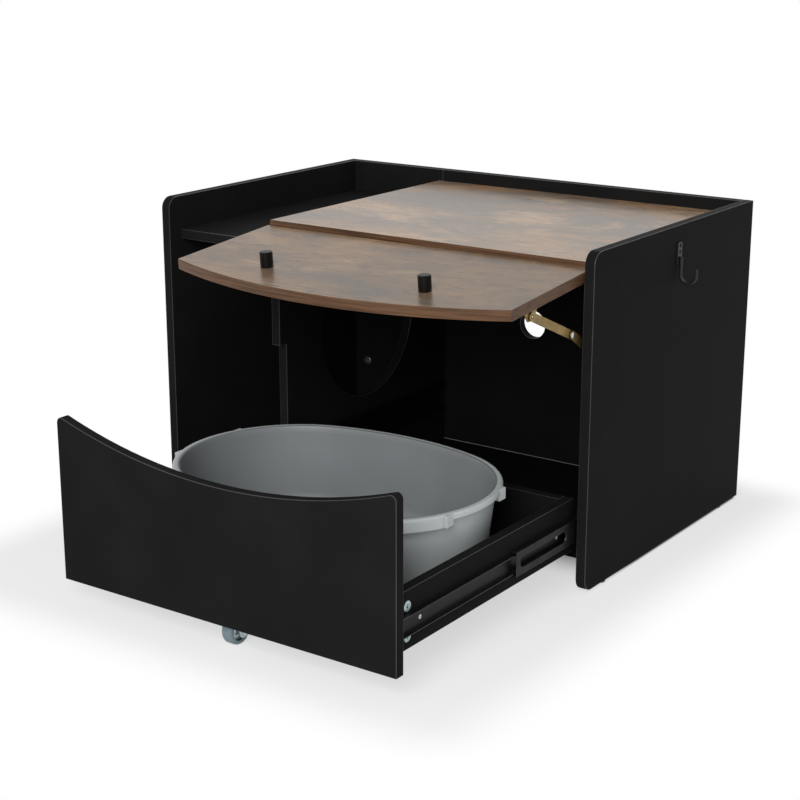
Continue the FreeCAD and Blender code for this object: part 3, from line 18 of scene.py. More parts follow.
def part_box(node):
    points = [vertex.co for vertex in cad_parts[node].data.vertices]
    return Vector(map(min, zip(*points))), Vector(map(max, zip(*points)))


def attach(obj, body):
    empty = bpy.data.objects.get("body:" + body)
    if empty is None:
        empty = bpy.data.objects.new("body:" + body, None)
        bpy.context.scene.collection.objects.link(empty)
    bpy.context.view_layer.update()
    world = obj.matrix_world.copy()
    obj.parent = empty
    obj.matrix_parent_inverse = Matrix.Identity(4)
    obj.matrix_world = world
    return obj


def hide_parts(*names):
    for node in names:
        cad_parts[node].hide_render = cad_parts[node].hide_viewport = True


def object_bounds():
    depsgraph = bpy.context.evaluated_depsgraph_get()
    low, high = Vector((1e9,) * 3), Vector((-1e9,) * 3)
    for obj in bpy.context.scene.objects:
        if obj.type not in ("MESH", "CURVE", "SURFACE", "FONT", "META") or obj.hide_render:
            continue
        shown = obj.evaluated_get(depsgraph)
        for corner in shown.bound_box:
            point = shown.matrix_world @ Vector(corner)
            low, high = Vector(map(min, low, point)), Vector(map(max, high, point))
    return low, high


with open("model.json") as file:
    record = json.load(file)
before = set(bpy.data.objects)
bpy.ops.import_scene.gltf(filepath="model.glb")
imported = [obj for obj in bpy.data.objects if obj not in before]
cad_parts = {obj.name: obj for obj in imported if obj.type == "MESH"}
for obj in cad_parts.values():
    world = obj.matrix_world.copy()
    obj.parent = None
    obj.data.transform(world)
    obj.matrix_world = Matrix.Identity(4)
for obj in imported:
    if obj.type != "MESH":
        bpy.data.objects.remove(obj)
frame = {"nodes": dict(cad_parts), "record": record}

bl_info = {
    "name": "Litter Cabinet",
    "version": (1, 0, 0),
    "blender": (4, 5, 0),
    "location": "3D View > Sidebar > Litter Cabinet",
    "description": "Dresses a cat litter box cabinet with boards, fittings, slides and a pan",
    "category": "Object",
}

CAD_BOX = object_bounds()
BODY_OF = {node: body for body, nodes in frame["record"]["behaviour"]["bodies"].items() for node in nodes}
SLOT_OF = {part["node"]: part["material_slot"] for part in frame["record"]["subparts"]}

# Metres and degrees
MERGE = 0.00001
SHARP_BOARD, SHARP_METAL = 35.0, 40.0
SHARP_EDGE = 0.6  # radians
LEAST_BOARD_OUTLINE = 0.045
CAM_RADIUS = 0.0075
THREAD_PITCH, BOLT_PITCH = 0.0011, 0.0014
KNOB_RADIUS, KNOB_HEIGHT = 0.009, 0.022
BALLS_PER_ROW = 7
PAN_BOW, TAB_OFFSET = 0.010, 0.062
# How far inside the side walls the floor's painted shade is full
PAINTED_SHADE_INSET = 0.006
SLIDE_FINISHES = ("slide_black", "slide_edge")
ALONG_X, ALONG_Z = Vector((1, 0, 0)), Vector((0, 0, 1))


# Shader nodes

class Signal:
    """A number between shader nodes; arithmetic on it adds Math nodes."""

    def __init__(self, finish, socket):
        self.finish = finish
        self.socket = socket

    def math(self, operation, *others):
        """This number and others, put through one Math node."""
        values = dict(enumerate((self,) + others))
        return self.finish.number("ShaderNodeMath", {"operation": operation}, values)

    def __add__(self, other):
        return self.math("ADD", other)

    def __sub__(self, other):
        return self.math("SUBTRACT", other)

    def __mul__(self, other):
        return self.math("MULTIPLY", other)

    __radd__ = __add__
    __rmul__ = __mul__

    def __rsub__(self, other):
        return (self * -1.0) + other

    def __abs__(self):
        return self.math("ABSOLUTE")

    def steps(self, low, high):
        """0 below low, 1 above high, and a smooth rise between."""
        values = {0: self, 1: low, 2: high, 3: 0.0, 4: 1.0}
        return self.finish.number("ShaderNodeMapRange", {"interpolation_type": "SMOOTHSTEP"}, values)


class Nodes:
    """A node tree that is built by calls."""

    def __init__(self, tree):
        self.tree = tree

    def node(self, kind, settings=None, inputs=None):
        """One shader node with its settings made first, then its values and links."""
        node = self.tree.nodes.new(kind)
        for name, value in (settings or {}).items():
            setattr(node, name, value)
        for name, value in (inputs or {}).items():
            self.join(node.inputs[name], value)
        return node

    def join(self, socket, value):
        """A link where the value is a signal or a socket, and a set value otherwise."""
        if isinstance(value, Signal):
            value = value.socket
        if isinstance(value, bpy.types.NodeSocket):
            self.tree.links.new(value, socket)
        else:
            socket.default_value = value

    def number(self, kind, settings=None, inputs=None, output=0):
        return Signal(self, self.node(kind, settings, inputs).outputs[output])

    def light_path(self):
        """1 for rays that should meet the white background: camera, glossy and transmission rays."""
        path = self.node("ShaderNodeLightPath")
        rays = [Signal(self, path.outputs[f"Is {kind} Ray"]) for kind in ("Camera", "Glossy", "Transmission")]
        return (rays[0] + rays[1] + rays[2]).math("MINIMUM", 1.0)

    def blend(self, share, first, second, output):
        """Two shaders mixed by a share, led to the tree's output."""
        both = self.node("ShaderNodeMixShader", None, {0: share, 1: first.outputs[0], 2: second.outputs[0]})
        self.join(self.tree.nodes[output].inputs["Surface"], both.outputs[0])


class Finish(Nodes):
    """A material on a Principled shader."""

    def __init__(self, name, colour, roughness, metallic=0.0, specular=0.5):
        self.material = bpy.data.materials.new(name)
        self.material.use_nodes = True
        self.material.diffuse_color = (*colour, 1.0)
        super().__init__(self.material.node_tree)
        self.shader = self.tree.nodes["Principled BSDF"]
        self.feed("Base Color", (*colour, 1.0))
        self.feed("Roughness", roughness)
        self.feed("Metallic", metallic)
        self.feed("Specular IOR Level", specular)
        self.place = self.node("ShaderNodeTexCoord").outputs["Object"]

    def feed(self, name, value):
        self.join(self.shader.inputs[name], value)

    def stretched(self, scale):
        """The object's coordinates, scaled by axis."""
        return self.node("ShaderNodeMapping", None, {"Vector": self.place, "Scale": scale}).outputs[0]

    def noise(self, scale, detail=3.0, roughness=0.5, stretch=(1, 1, 1), warp=0.0):
        inputs = {"Vector": self.stretched(stretch), "Scale": scale, "Detail": detail,
                  "Roughness": roughness, "Distortion": warp}
        return self.number("ShaderNodeTexNoise", None, inputs)

    def mix(self, share, first, second):
        """Two colours blended by a share."""
        settings = {"data_type": "RGBA"}
        inputs = {0: share, 6: self.colour(first), 7: self.colour(second)}
        return self.node("ShaderNodeMix", settings, inputs).outputs[2]

    @staticmethod
    def colour(value):
        """A colour with its alpha; sockets pass through."""
        return value if isinstance(value, bpy.types.NodeSocket) else (*tuple(value)[:3], 1.0)

    def dress(self, colour, roughness, height, strength, distance):
        """The material, once its colour, roughness and bump are led to the shader."""
        self.feed("Base Color", colour)
        self.feed("Roughness", roughness)
        inputs = {"Height": height, "Strength": strength, "Distance": distance}
        self.feed("Normal", self.node("ShaderNodeBump", None, inputs).outputs[0])
        return self.material

    def axis(self, index):
        """One coordinate of the object's place."""
        return self.number("ShaderNodeSeparateXYZ", None, {0: self.place}, index)


def scaled(colour, factor):
    return tuple(channel * factor for channel in colour)


def melamine(name, colour, roughness, specular):
    """Black melamine board: a fine pressed texture and faint clouding."""
    finish = Finish(name, colour, roughness, 0.0, specular)
    cloud = finish.noise(9.0, 4.0)
    pores = finish.noise(900.0, 2.0, 0.6, (0.35, 1, 1))
    clouded = finish.mix(cloud.steps(0.35, 0.75), colour, scaled(colour, 1.25))
    return finish.dress(clouded, cloud * 0.10 + pores * 0.12 + (roughness - 0.1), pores, 0.12, 0.0002)


def wood_face(name, settings, tone_and_painted_sheen_lift, sheen):
    """Printed rustic wood: streaks along X, brown and grey patches, and thin dark cracks."""
    # The colours are lifted by a factor; the top board's larger lift is painted sheen, the same print looking
    # lighter on the flat top at a grazing angle.
    middle, grey, light = (scaled(colour, tone_and_painted_sheen_lift)
                           for colour in (settings.wood_middle, settings.wood_grey, settings.wood_light))
    finish = Finish(name, middle, 0.4, 0.0, sheen)
    patch = finish.noise(3.4, 6.0, 0.6, (0.7, 1.4, 1.4), 0.5)
    rust = finish.noise(6.5, 7.0, 0.66, (0.75, 1.3, 1.3), 0.7)
    mottle = finish.noise(26.0, 7.0, 0.72, (0.7, 1.3, 1.3), 0.3)
    streak = finish.noise(36.0, 6.0, 0.7, (0.16, 5.0, 5.0), 0.15)
    hair = finish.noise(110.0, 4.0, 0.65, (0.10, 8.0, 8.0))
    cracks = 1.0 - abs(finish.noise(8.0, 9.0, 0.72, (0.5, 2.2, 2.2), 0.8) - 0.5).steps(0.0, 0.012)
    dark = scaled(grey, 0.38)
    ground = finish.mix(patch.steps(0.40, 0.60), grey, middle)
    ground = finish.mix(rust.steps(0.48, 0.68) * 0.75, ground, light)
    ground = finish.mix((1.0 - mottle.steps(0.30, 0.56)) * 0.55, ground, dark)
    ground = finish.mix((1.0 - streak.steps(0.26, 0.60)) * 0.38, ground, dark)
    ground = finish.mix((1.0 - hair.steps(0.30, 0.60)) * 0.30, ground, dark)
    ground = finish.mix(cracks * patch.steps(0.38, 0.56) * 0.65, ground, dark)
    relief = streak * 0.5 + hair * 0.3 + mottle * 0.2
    return finish.dress(ground, streak * 0.14 + mottle * 0.14 + 0.16, relief, 0.3, 0.0004)


def wood_band(name, settings):
    """The wood-look edge band: reddish brown with fine lines along it."""
    finish = Finish(name, settings.wood_band, 0.45, 0.0, 0.2)
    along = finish.noise(60.0, 5.0, 0.7, (0.10, 0.6, 7.0), 0.2)
    blot = finish.noise(16.0, 3.0)
    colour = settings.wood_band
    ground = finish.mix(along.steps(0.34, 0.62), scaled(colour, 0.45), scaled(colour, 1.5))
    ground = finish.mix(blot * 0.35, ground, colour)
    return finish.dress(ground, along * 0.15 + 0.38, along, 0.25, 0.0004)


def chipboard(name, colour):
    """Pale particle board: flakes of several browns."""
    finish = Finish(name, colour, 0.75)
    inputs = {"Vector": finish.stretched((1, 1, 2)), "Scale": 420.0}
    flakes = finish.number("ShaderNodeTexVoronoi", None, inputs)
    grain = finish.noise(140.0, 4.0)
    flaked = finish.mix(flakes.steps(0.1, 0.7) * grain, colour, scaled(colour, 0.5))
    return finish.dress(flaked, grain * 0.2 + 0.65, flakes, 0.35, 0.0006)


def plastic(name, colour, roughness, grain=500.0, specular=0.5):
    """Moulded plastic: a faint orange-peel and slightly uneven gloss."""
    finish = Finish(name, colour, roughness, 0.0, specular)
    peel = finish.noise(grain, 2.0)
    cloud = finish.noise(7.0, 3.0)
    clouded = finish.mix(cloud.steps(0.3, 0.7), scaled(colour, 0.88), colour)
    return finish.dress(clouded, cloud * 0.12 + (roughness - 0.06), peel, 0.08, 0.0004)


def metal(name, colour, roughness, metallic=1.0, brushed=(1, 1, 1), specular=0.5):
    """Plated or painted steel: brushing, dull spots and darker stains."""
    finish = Finish(name, colour, roughness, metallic, specular)
    brush = finish.noise(260.0, 3.0, 0.6, brushed)
    stain = finish.noise(38.0, 4.0)
    stained = finish.mix(stain.steps(0.35, 0.72), colour, scaled(colour, 0.62))
    return finish.dress(stained, brush * 0.18 + stain * 0.10 + (roughness - 0.12), brush, 0.10, 0.0002)


MATERIALS = {}


def material(name):
    """A finish by its name, made the first time it is asked for."""
    if name not in MATERIALS:
        settings = bpy.context.scene.litter_cabinet
        maker, *values = {
            "black_board": (melamine, settings.board_colour, 0.45, 0.01),
            # The rounded edges are partly a glossier edge band and partly painted highlight in their lighter
            # grey.
            "board_edge": (melamine, settings.edge_painted_highlight, 0.32, 0.35),
            # wood_top is lifted further than wood_door: painted sheen on the top board, which carries the
            # same print.
            "wood_top": (wood_face, settings, 1.9, 0.5),
            "wood_door": (wood_face, settings, 1.2, 0.30),
            "wood_band": (wood_band, settings),
            "raw_wood": (chipboard, (0.40, 0.29, 0.18)),
            "pan_plastic": (plastic, settings.pan_colour, 0.42),
            # The pan's inside is a darker copy of its plastic: painted shade, the pan being one colour
            # throughout.
            "pan_inside": (plastic, settings.pan_inside, 0.48),
            "black_metal": (metal, (0.012, 0.012, 0.012), 0.42, 0.3, (1, 1, 1), 0.35),
            "knob_black": (plastic, (0.004, 0.003, 0.002), 0.34, 900.0, 0.15),
            "slide_black": (metal, (0.006, 0.006, 0.006), 0.4, 0.2, (1, 0.1, 1), 0.15),
            "slide_edge": (metal, (0.09, 0.09, 0.09), 0.3, 0.9, (1, 0.1, 1)),
            "screw_steel": (metal, (0.62, 0.61, 0.58), 0.32),
            "screw_black": (metal, (0.02, 0.02, 0.02), 0.35, 0.6),
            "zinc": (metal, (0.46, 0.55, 0.58), 0.34),
            "bright_steel": (metal, (0.70, 0.70, 0.69), 0.25),
            "stay_brass": (metal, (0.30, 0.21, 0.08), 0.38, 1.0, (0.2, 1, 1)),
            "wheel_rubber": (plastic, (0.16, 0.22, 0.25), 0.5),
            "glide_plastic": (plastic, (0.03, 0.03, 0.03), 0.5),
        }[name]
        MATERIALS[name] = maker(name, *values)
    return MATERIALS[name]


# Modelling

def deselect():
    if bpy.context.object and bpy.context.object.mode != "OBJECT":
        leave()
    bpy.ops.object.select_all(action="DESELECT")


def pick(*pieces):
    """Only these pieces selected, with the first one active."""
    deselect()
    for piece in pieces:
        piece.select_set(True)
    bpy.context.view_layer.objects.active = pieces[0]


def fresh(name, add, **settings):
    """A new piece from one of Blender's primitives."""
    deselect()
    add(**settings)
    piece = bpy.context.object
    piece.name = name
    return piece


def edit(piece, mode="FACE"):
    """The piece in edit mode with nothing selected, as an edit mesh."""
    pick(piece)
    bpy.ops.object.mode_set(mode="EDIT")
    bpy.ops.mesh.select_mode(type=mode)
    bpy.ops.mesh.select_all(action="DESELECT")
    return bmesh.from_edit_mesh(piece.data)


def leave():
    bpy.ops.object.mode_set(mode="OBJECT")


def choose(piece, elements, wanted):
    """Selects the elements of the edit mesh that are wanted."""
    for element in elements:
        element.select_set(wanted(element))
    bmesh.update_edit_mesh(piece.data)


def close_up():
    """Turns all faces outward and leaves edit mode."""
    bpy.ops.mesh.select_all(action="SELECT")
    bpy.ops.mesh.normals_make_consistent(inside=False)
    leave()


def finish_shape(piece, angle=SHARP_METAL):
    """Smooth shading below an angle, with flat faces kept flat."""
    pick(piece)
    bpy.ops.object.shade_smooth_by_angle(angle=math.radians(angle))
    flat = piece.modifiers.new("even_faces", "WEIGHTED_NORMAL")
    flat.keep_sharp = True
    bpy.ops.object.modifier_apply(modifier=flat.name)
    return piece


def linked(name, data):
    """A new object in the scene, on its own data."""
    piece = bpy.data.objects.new(name, data)
    bpy.context.scene.collection.objects.link(piece)
    return piece


def copied(node, name):
    """A merged copy of a CAD node's mesh, with its flat faces made whole."""
    piece = linked(name, frame["nodes"][node].data.copy())
    piece.data.materials.clear()
    pick(piece)
    bpy.ops.mesh.customdata_custom_splitnormals_clear()
    edit(piece, "VERT")
    bpy.ops.mesh.select_all(action="SELECT")
    bpy.ops.mesh.remove_doubles(threshold=MERGE)
    bpy.ops.mesh.dissolve_limited(angle_limit=math.radians(1.0))
    leave()
    return piece


def families(waiting, neighbours):
    """Sorts a set's members into families that touch."""
    found = []
    while waiting:
        family, front = [], [waiting.pop()]
        while front:
            member = front.pop()
            family.append(member)
            near = neighbours(member) & waiting
            waiting -= near
            front.extend(near)
        found.append(family)
    return found


def touching(edge):
    return {other for corner in edge.verts for other in corner.link_edges}


def extent(corners):
    """The low and high corners of the box round some points."""
    return [Vector([pick_end(corner[i] for corner in corners) for i in range(3)]) for pick_end in (min, max)]


def mean(corners):
    return sum(corners, Vector()) / len(corners)


def broken_edges(piece, width, least, slot_index=-1):
    """Rounds the sharp edges of every outline that is at least so far across."""
    mesh = edit(piece, "EDGE")
    sharp = {edge for edge in mesh.edges if len(edge.link_faces) == 2 and edge.calc_face_angle() > SHARP_EDGE}
    for family in families(sharp, touching):
        low, high = extent([corner.co for edge in family for corner in edge.verts])
        if (high - low).length >= least:
            for edge in family:
                edge.select_set(True)
    bmesh.update_edit_mesh(piece.data)
    bpy.ops.mesh.bevel(offset=width, segments=2, affect="EDGES", clamp_overlap=False, material=slot_index)
    leave()


def clothe(piece, *names):
    """Gives a piece its finishes, one per slot."""
    for name in names:
        piece.data.materials.append(material(name))
    return piece


def stand_for(piece, node):
    """Sets a piece in the place of a CAD node and on its body."""
    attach(piece, BODY_OF[node])
    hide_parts(node)


def dressed(node, ending, names, width, least, slot_index=-1, angle=None):
    """A copy of a CAD node with broken edges and its finishes, ready to stand for it."""
    piece = clothe(copied(node, node + ending), *names)
    broken_edges(piece, width, least, slot_index)
    return finish_shape(piece, angle or SHARP_METAL)


def box_centre(node):
    low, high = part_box(node)
    return (Vector(low) + Vector(high)) / 2


def solids_of(node):
    """The corners of each separate solid of a CAD node."""
    mesh = bmesh.new()
    mesh.from_mesh(frame["nodes"][node].data)
    bmesh.ops.remove_doubles(mesh, verts=mesh.verts, dist=MERGE)
    groups = families(set(mesh.verts), lambda corner: {edge.other_vert(corner) for edge in corner.link_edges})
    solids = [[corner.co.copy() for corner in group] for group in groups]
    mesh.free()
    return sorted(solids, key=lambda solid: tuple(round(sum(c[i] for c in solid), 4) for i in range(3)))


def long_axis(corners):
    """The direction in which corners spread most."""
    middle = mean(corners)
    reaches = [corner - middle for corner in corners]
    axis = max(reaches, key=lambda reach: reach.length)
    for _ in range(12):
        axis = sum((reach * reach.dot(axis) for reach in reaches), Vector()).normalized()
    return axis, middle


def spot(point, outward):
    """The place of a turned piece whose own Z is to point outward."""
    turn = ALONG_Z.rotation_difference(outward).to_matrix().to_4x4()
    return Matrix.Translation(point) @ turn


def screw_spot(corners):
    """A screw's place, at the middle of its head's face, and its length."""
    axis, middle = long_axis(corners)
    reach = [(corner - middle).dot(axis) for corner in corners]
    ends = []
    for sign in (1, -1):
        tip = max(sign * along for along in reach)
        rim = [corner for corner, along in zip(corners, reach) if sign * along > tip - 0.0001]
        ends.append((max(((c - middle).cross(axis)).length for c in rim), sign, tip))
    _, sign, tip = max(ends)
    return spot(middle + axis * (sign * tip), axis * sign), max(reach) - min(reach)


def turned(name, profile, sides=24):
    """A solid of revolution about Z through rings of (height, radius)."""
    height, radius = profile[0]
    piece = fresh(name, bpy.ops.mesh.primitive_circle_add, vertices=sides, radius=radius, fill_type="NGON")
    bpy.ops.object.mode_set(mode="EDIT")
    bpy.ops.transform.translate(value=(0, 0, height))
    for (before, last), (height, radius) in zip(profile, profile[1:]):
        bpy.ops.mesh.extrude_region_move(TRANSFORM_OT_translate={"value": (0, 0, height - before)})
        share = radius / last
        bpy.ops.transform.resize(value=(share, share, 1), center_override=(0, 0, height))
    close_up()
    return piece


def placed(pattern, name, spots):
    """One piece made of copies of a pattern, one per place; the pattern itself is used up."""
    copies = []
    for place in spots:
        copy = linked(name, pattern.data.copy())
        copy.data.transform(place)
        copies.append(copy)
    pick(*copies)
    if len(copies) > 1:
        bpy.ops.object.join()
    bpy.data.objects.remove(pattern)
    copies[0].name = name
    return copies[0]


def set_turned(node, ending, profile, sides, spots, finish):
    """A turned piece on each of a node's places."""
    piece = placed(finish_shape(turned(node, profile, sides)), node + ending, spots)
    stand_for(clothe(piece, finish), node)


def mirrored(half):
    """A profile and its mirror image about the origin."""
    return half + [(-height, radius) for height, radius in reversed(half)]


def joined(name, *pieces):
    pick(*pieces)
    bpy.ops.object.join()
    pieces[0].name = name
    return pieces[0]


def cut_with(piece, cutter):
    """Takes one shape out of another and removes the cutter."""
    cut = piece.modifiers.new("cut", "BOOLEAN")
    cut.object = cutter
    cut.solver = "EXACT"
    pick(piece)
    bpy.ops.object.modifier_apply(modifier=cut.name)
    bpy.data.objects.remove(cutter)


def block(name, low, high, edge=0.0, steps=2):
    """A block between two corners, with its edges rounded."""
    piece = fresh(name, bpy.ops.mesh.primitive_cube_add, size=1.0)
    low, high = Vector(low), Vector(high)
    bpy.ops.object.mode_set(mode="EDIT")
    bpy.ops.transform.resize(value=high - low, center_override=(0, 0, 0))
    bpy.ops.transform.translate(value=(low + high) / 2)
    if edge:
        bpy.ops.mesh.bevel(offset=edge, segments=steps, affect="EDGES")
    leave()
    return piece


# Boards

def door_face(context):
    """The way the open door's upper face looks."""
    tilt = context.scene.litter_cabinet.door_tilt
    return Vector((0, -math.sin(tilt), math.cos(tilt)))


def banded(piece, along_face):
    """Puts the second finish on every face that doesn't look the way the board's face does."""
    for face in piece.data.polygons:
        face.material_index = 0 if abs(face.normal.dot(along_face)) > 0.95 else 1


class LITTER_OT_boards(bpy.types.Operator):
    """Dress the black boards of the carcass and the drawer"""

    bl_idname = "litter.boards"
    bl_label = "Black boards"

    def execute(self, context):
        width = context.scene.litter_cabinet.board_edge
        for node in ("left_side_panel", "right_side_panel", "back_board_left", "back_board_right",
                     "divider_panel", "entry_roof_board", "entry_floor_board", "front_rail",
                     "drawer_front", "drawer_side_left", "drawer_side_right", "drawer_back", "drawer_base"):
            edge = width / 3 if node == "drawer_base" else width
            finishes = ("black_board", "board_edge")
            stand_for(dressed(node, "_faced", finishes, edge, LEAST_BOARD_OUTLINE, 1, SHARP_BOARD), node)
        return {"FINISHED"}


class LITTER_OT_wood(bpy.types.Operator):
    """Dress the wood-look top board and flip door, and the raw wood"""

    bl_idname = "litter.wood"
    bl_label = "Wood boards"

    def execute(self, context):
        width = context.scene.litter_cabinet.board_edge
        for node, face in (("top_board", ALONG_Z), ("flip_door", door_face(context))):
            piece = copied(node, node + "_faced")
            clothe(piece, SLOT_OF[node], "wood_band")
            broken_edges(piece, width, LEAST_BOARD_OUTLINE)
            banded(piece, face)
            stand_for(finish_shape(piece, SHARP_BOARD), node)
        for node in ("caster_block", "top_dowels"):
            stand_for(dressed(node, "_cut", ("raw_wood",), width / 3, 0.008, angle=SHARP_BOARD), node)
        return {"FINISHED"}


# Fittings

def cross_recess(size, depth):
    """The cutter for a cross recess: two crossed bars that narrow downwards."""
    bars = []
    for turn in (0, math.pi / 2):
        bar = block("recess", (-size, -size * 0.22, -depth), (size, size * 0.22, depth))
        choose(bar, edit(bar, "VERT").verts, lambda corner: corner.co.z < 0)
        bpy.ops.transform.resize(value=(0.45, 0.6, 1), center_override=(0, 0, 0))
        leave()
        bar.data.transform(Matrix.Rotation(turn, 4, "Z"))
        bars.append(bar)
    return bars


def threaded(name, length, head, shank, head_height, pan=False):
    """A screw whose head's face is at the origin and whose shank runs down, with a cross recess."""
    if pan:
        profile = [(0.0, head * 0.62), (-head_height * 0.35, head * 0.92), (-head_height, head)]
    else:
        profile = [(0.0, head * 0.90), (-head * 0.06, head), (-head_height, shank)]
    down = -head_height - 0.0004
    profile.append((down, shank))
    while down > -length + 2 * THREAD_PITCH:
        profile.extend([(down - 0.0005, shank * 0.76), (down - THREAD_PITCH, shank)])
        down -= THREAD_PITCH
    profile.append((-length, shank * 0.25))
    screw = turned(name, profile, 16)
    for bar in cross_recess(head * 0.52, head * 0.5):
        cut_with(screw, bar)
    return finish_shape(screw)


class LITTER_OT_screws(bpy.types.Operator):
    """Model every screw, with a cross recess and a thread, and set it on its place"""

    bl_idname = "litter.screws"
    bl_label = "Screws"

    def execute(self, context):
        black = ("back_board", "scoop_hook", "slide_cabinet", "drawer_back")
        for place in ("back_board", "scoop_hook", "slide_cabinet", "hinge_top", "hinge_door", "stay_wall",
                      "stay_door", "drawer_back", "slide_drawer", "caster", "knob"):
            node = place + "_screws"
            spots = [screw_spot(corners) for corners in solids_of(node)]
            length = spots[0][1]
            if node == "knob_screws":
                pattern = threaded(node, length, head=0.0042, shank=0.0020, head_height=0.002, pan=True)
            else:
                pattern = threaded(node, length, head=0.0030, shank=0.0015, head_height=0.0018)
            piece = placed(pattern, node + "_cut", [where for where, _ in spots])
            stand_for(clothe(piece, "screw_black" if place in black else "screw_steel"), node)
        return {"FINISHED"}


def disc_spot(node, corners):
    """A cam disc's place: its face looks outward on the drawer, and down or forward in the carcass."""
    middle = mean(corners)
    index, depth = flat_axis(corners)
    outward = Vector([1.0 if i == index else 0.0 for i in range(3)])
    if node == "drawer_cam_discs":
        outward *= 1 if middle.x > box_centre("drawer_base").x else -1
    elif index == 2 or middle.y > 0:
        outward *= -1
    return spot(middle + outward * depth / 2, outward)


def flat_axis(corners):
    """The square axis along which corners spread least."""
    low, high = extent(corners)
    spans = list(high - low)
    return spans.index(min(spans)), min(spans)


class LITTER_OT_cams(bpy.types.Operator):
    """Model the cam discs with their cross slots, and the cam bolts with their collars"""

    bl_idname = "litter.cams"
    bl_label = "Cam fittings"

    def execute(self, context):
        for node in ("carcass_cam_discs", "drawer_cam_discs"):
            spots = [disc_spot(node, corners) for corners in solids_of(node)]
            rim = CAM_RADIUS
            profile = [(0.0, rim * 0.86), (-0.0004, rim * 0.96), (-0.0012, rim), (-0.0030, rim),
                       (-0.0034, rim * 0.93), (-0.0090, rim * 0.93), (-0.0094, rim), (-0.0115, rim),
                       (-0.0120, rim * 0.9)]
            pattern = turned(node, profile, 32)
            for bar in cross_recess(rim * 0.62, rim * 0.35):
                cut_with(pattern, bar)
            piece = placed(finish_shape(pattern), node + "_cast", spots)
            stand_for(clothe(piece, "zinc"), node)
        for node in ("carcass_cam_bolts", "drawer_cam_bolts"):
            places = [screw_spot(corners) for corners in solids_of(node)]
            length = places[0][1]
            profile = [(0.0, 0.0022), (-0.0006, 0.003), (-0.0028, 0.003), (-0.0034, 0.0017),
                       (-0.0062, 0.0017), (-0.0066, 0.0030), (-0.0160, 0.0030), (-0.0164, 0.0021)]
            down = -0.0164
            while down > -length + 0.002:
                profile.extend([(down - 0.0006, 0.003), (down - BOLT_PITCH, 0.0023)])
                down -= BOLT_PITCH
            profile.append((-length, 0.0012))
            set_turned(node, "_turned", profile, 16, [place for place, _ in places], "zinc")
        return {"FINISHED"}


class LITTER_OT_knobs(bpy.types.Operator):
    """Turn the two door knobs: a straight body, a softened top and a fine groove at the foot"""

    bl_idname = "litter.knobs"
    bl_label = "Door knobs"

    def execute(self, context):
        outward = door_face(context)
        radius, height = KNOB_RADIUS, KNOB_HEIGHT
        spots = []
        for corners in solids_of("door_knobs"):
            top = max(corner.dot(outward) for corner in corners)
            face = [corner for corner in corners if corner.dot(outward) > top - 0.0001]
            spots.append(spot(mean(face), outward))
        profile = [(0.0, radius * 0.40), (0.0, radius * 0.84), (-0.0003, radius * 0.93), (-0.0010, radius),
                   (-height + 0.0032, radius), (-height + 0.0028, radius * 0.94),
                   (-height + 0.0020, radius * 0.94), (-height + 0.0016, radius), (-height, radius),
                   (-height, radius * 0.4)]
        set_turned("door_knobs", "_turned", profile, 48, spots, "knob_black")
        return {"FINISHED"}


def rivet(name, radius, height, depth):
    """A domed rivet head over a shank that runs down."""
    dome = [(height * math.sin(a), radius * math.cos(a)) for a in (1.35, 1.05, 0.75, 0.4, 0.0)]
    profile = dome + [(-0.0001, radius * 0.97), (-0.0002, radius * 0.55), (-depth, radius * 0.55)]
    return finish_shape(turned(name, profile, 28))


class LITTER_OT_hinges_and_stay(bpy.types.Operator):
    """Dress the butt hinges and the folding stay, with round pins and domed rivets"""

    bl_idname = "litter.hinges_and_stay"
    bl_label = "Hinges and stay"

    def execute(self, context):
        edge = context.scene.litter_cabinet.metal_edge
        leaves = [f"hinge_{board}_leaf_{side}" for board in ("top", "door") for side in ("left", "right")]
        for node in leaves:
            stand_for(dressed(node, "_pressed", ("bright_steel",), edge, 0.012), node)
        for node in ("stay_wall_bracket", "stay_door_bracket", "stay_lower_arm", "stay_upper_arm"):
            stand_for(dressed(node, "_pressed", ("stay_brass",), edge, 0.009), node)
        self.pins()
        return {"FINISHED"}

    @staticmethod
    def pins():
        """The hinge pins, and the stay's pins and rivets."""
        spots = []
        for corners in solids_of("hinge_pins"):
            low, high = extent(corners)
            middle = mean(corners)
            spots.append((spot(Vector((high.x, middle.y, middle.z)), ALONG_X), high.x - low.x))
        length = spots[0][1]
        profile = [(0.0, 0.0008), (-0.0003, 0.0013), (-0.0008, 0.0015), (-length + 0.0008, 0.0015),
                   (-length + 0.0003, 0.0013), (-length, 0.0008)]
        set_turned("hinge_pins", "_turned", profile, 24, [place for place, _ in spots], "bright_steel")
        for node, side in (("stay_wall_pin", -1), ("stay_door_pin", -1), ("stay_elbow_rivet_inner", -1),
                           ("stay_elbow_rivet_outer", 1)):
            low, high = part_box(node)
            radius = (high[2] - low[2]) / 2 * 0.98
            outer, inner = (low[0], high[0]) if side < 0 else (high[0], low[0])
            face = box_centre(node)
            if "rivet" in node:
                face.x = inner
                piece = rivet(node, radius, abs(outer - inner) * 0.98, 0.0004)
            else:
                face.x = outer - side * 0.0008
                piece = rivet(node, radius, 0.0008, abs(outer - inner) - 0.0008)
            piece = placed(piece, node + "_domed", [spot(face, Vector((side, 0, 0)))])
            stand_for(clothe(piece, "bright_steel"), node)


# Drawer slides

def bead(name, low, high, radius, wire):
    """A round bead along a capsule in the YZ plane, from a ring that is pulled apart."""
    piece = fresh(name, bpy.ops.mesh.primitive_torus_add, major_radius=radius, minor_radius=wire,
                  major_segments=40, minor_segments=8, rotation=(0, math.pi / 2, 0))
    bpy.ops.object.transform_apply(location=False, rotation=True, scale=False)
    choose(piece, edit(piece, "VERT").verts, lambda corner: corner.co.y > MERGE)
    bpy.ops.transform.translate(value=(0, high.y - low.y, 0))
    bpy.ops.mesh.select_all(action="SELECT")
    bpy.ops.transform.translate(value=low)
    leave()
    return piece


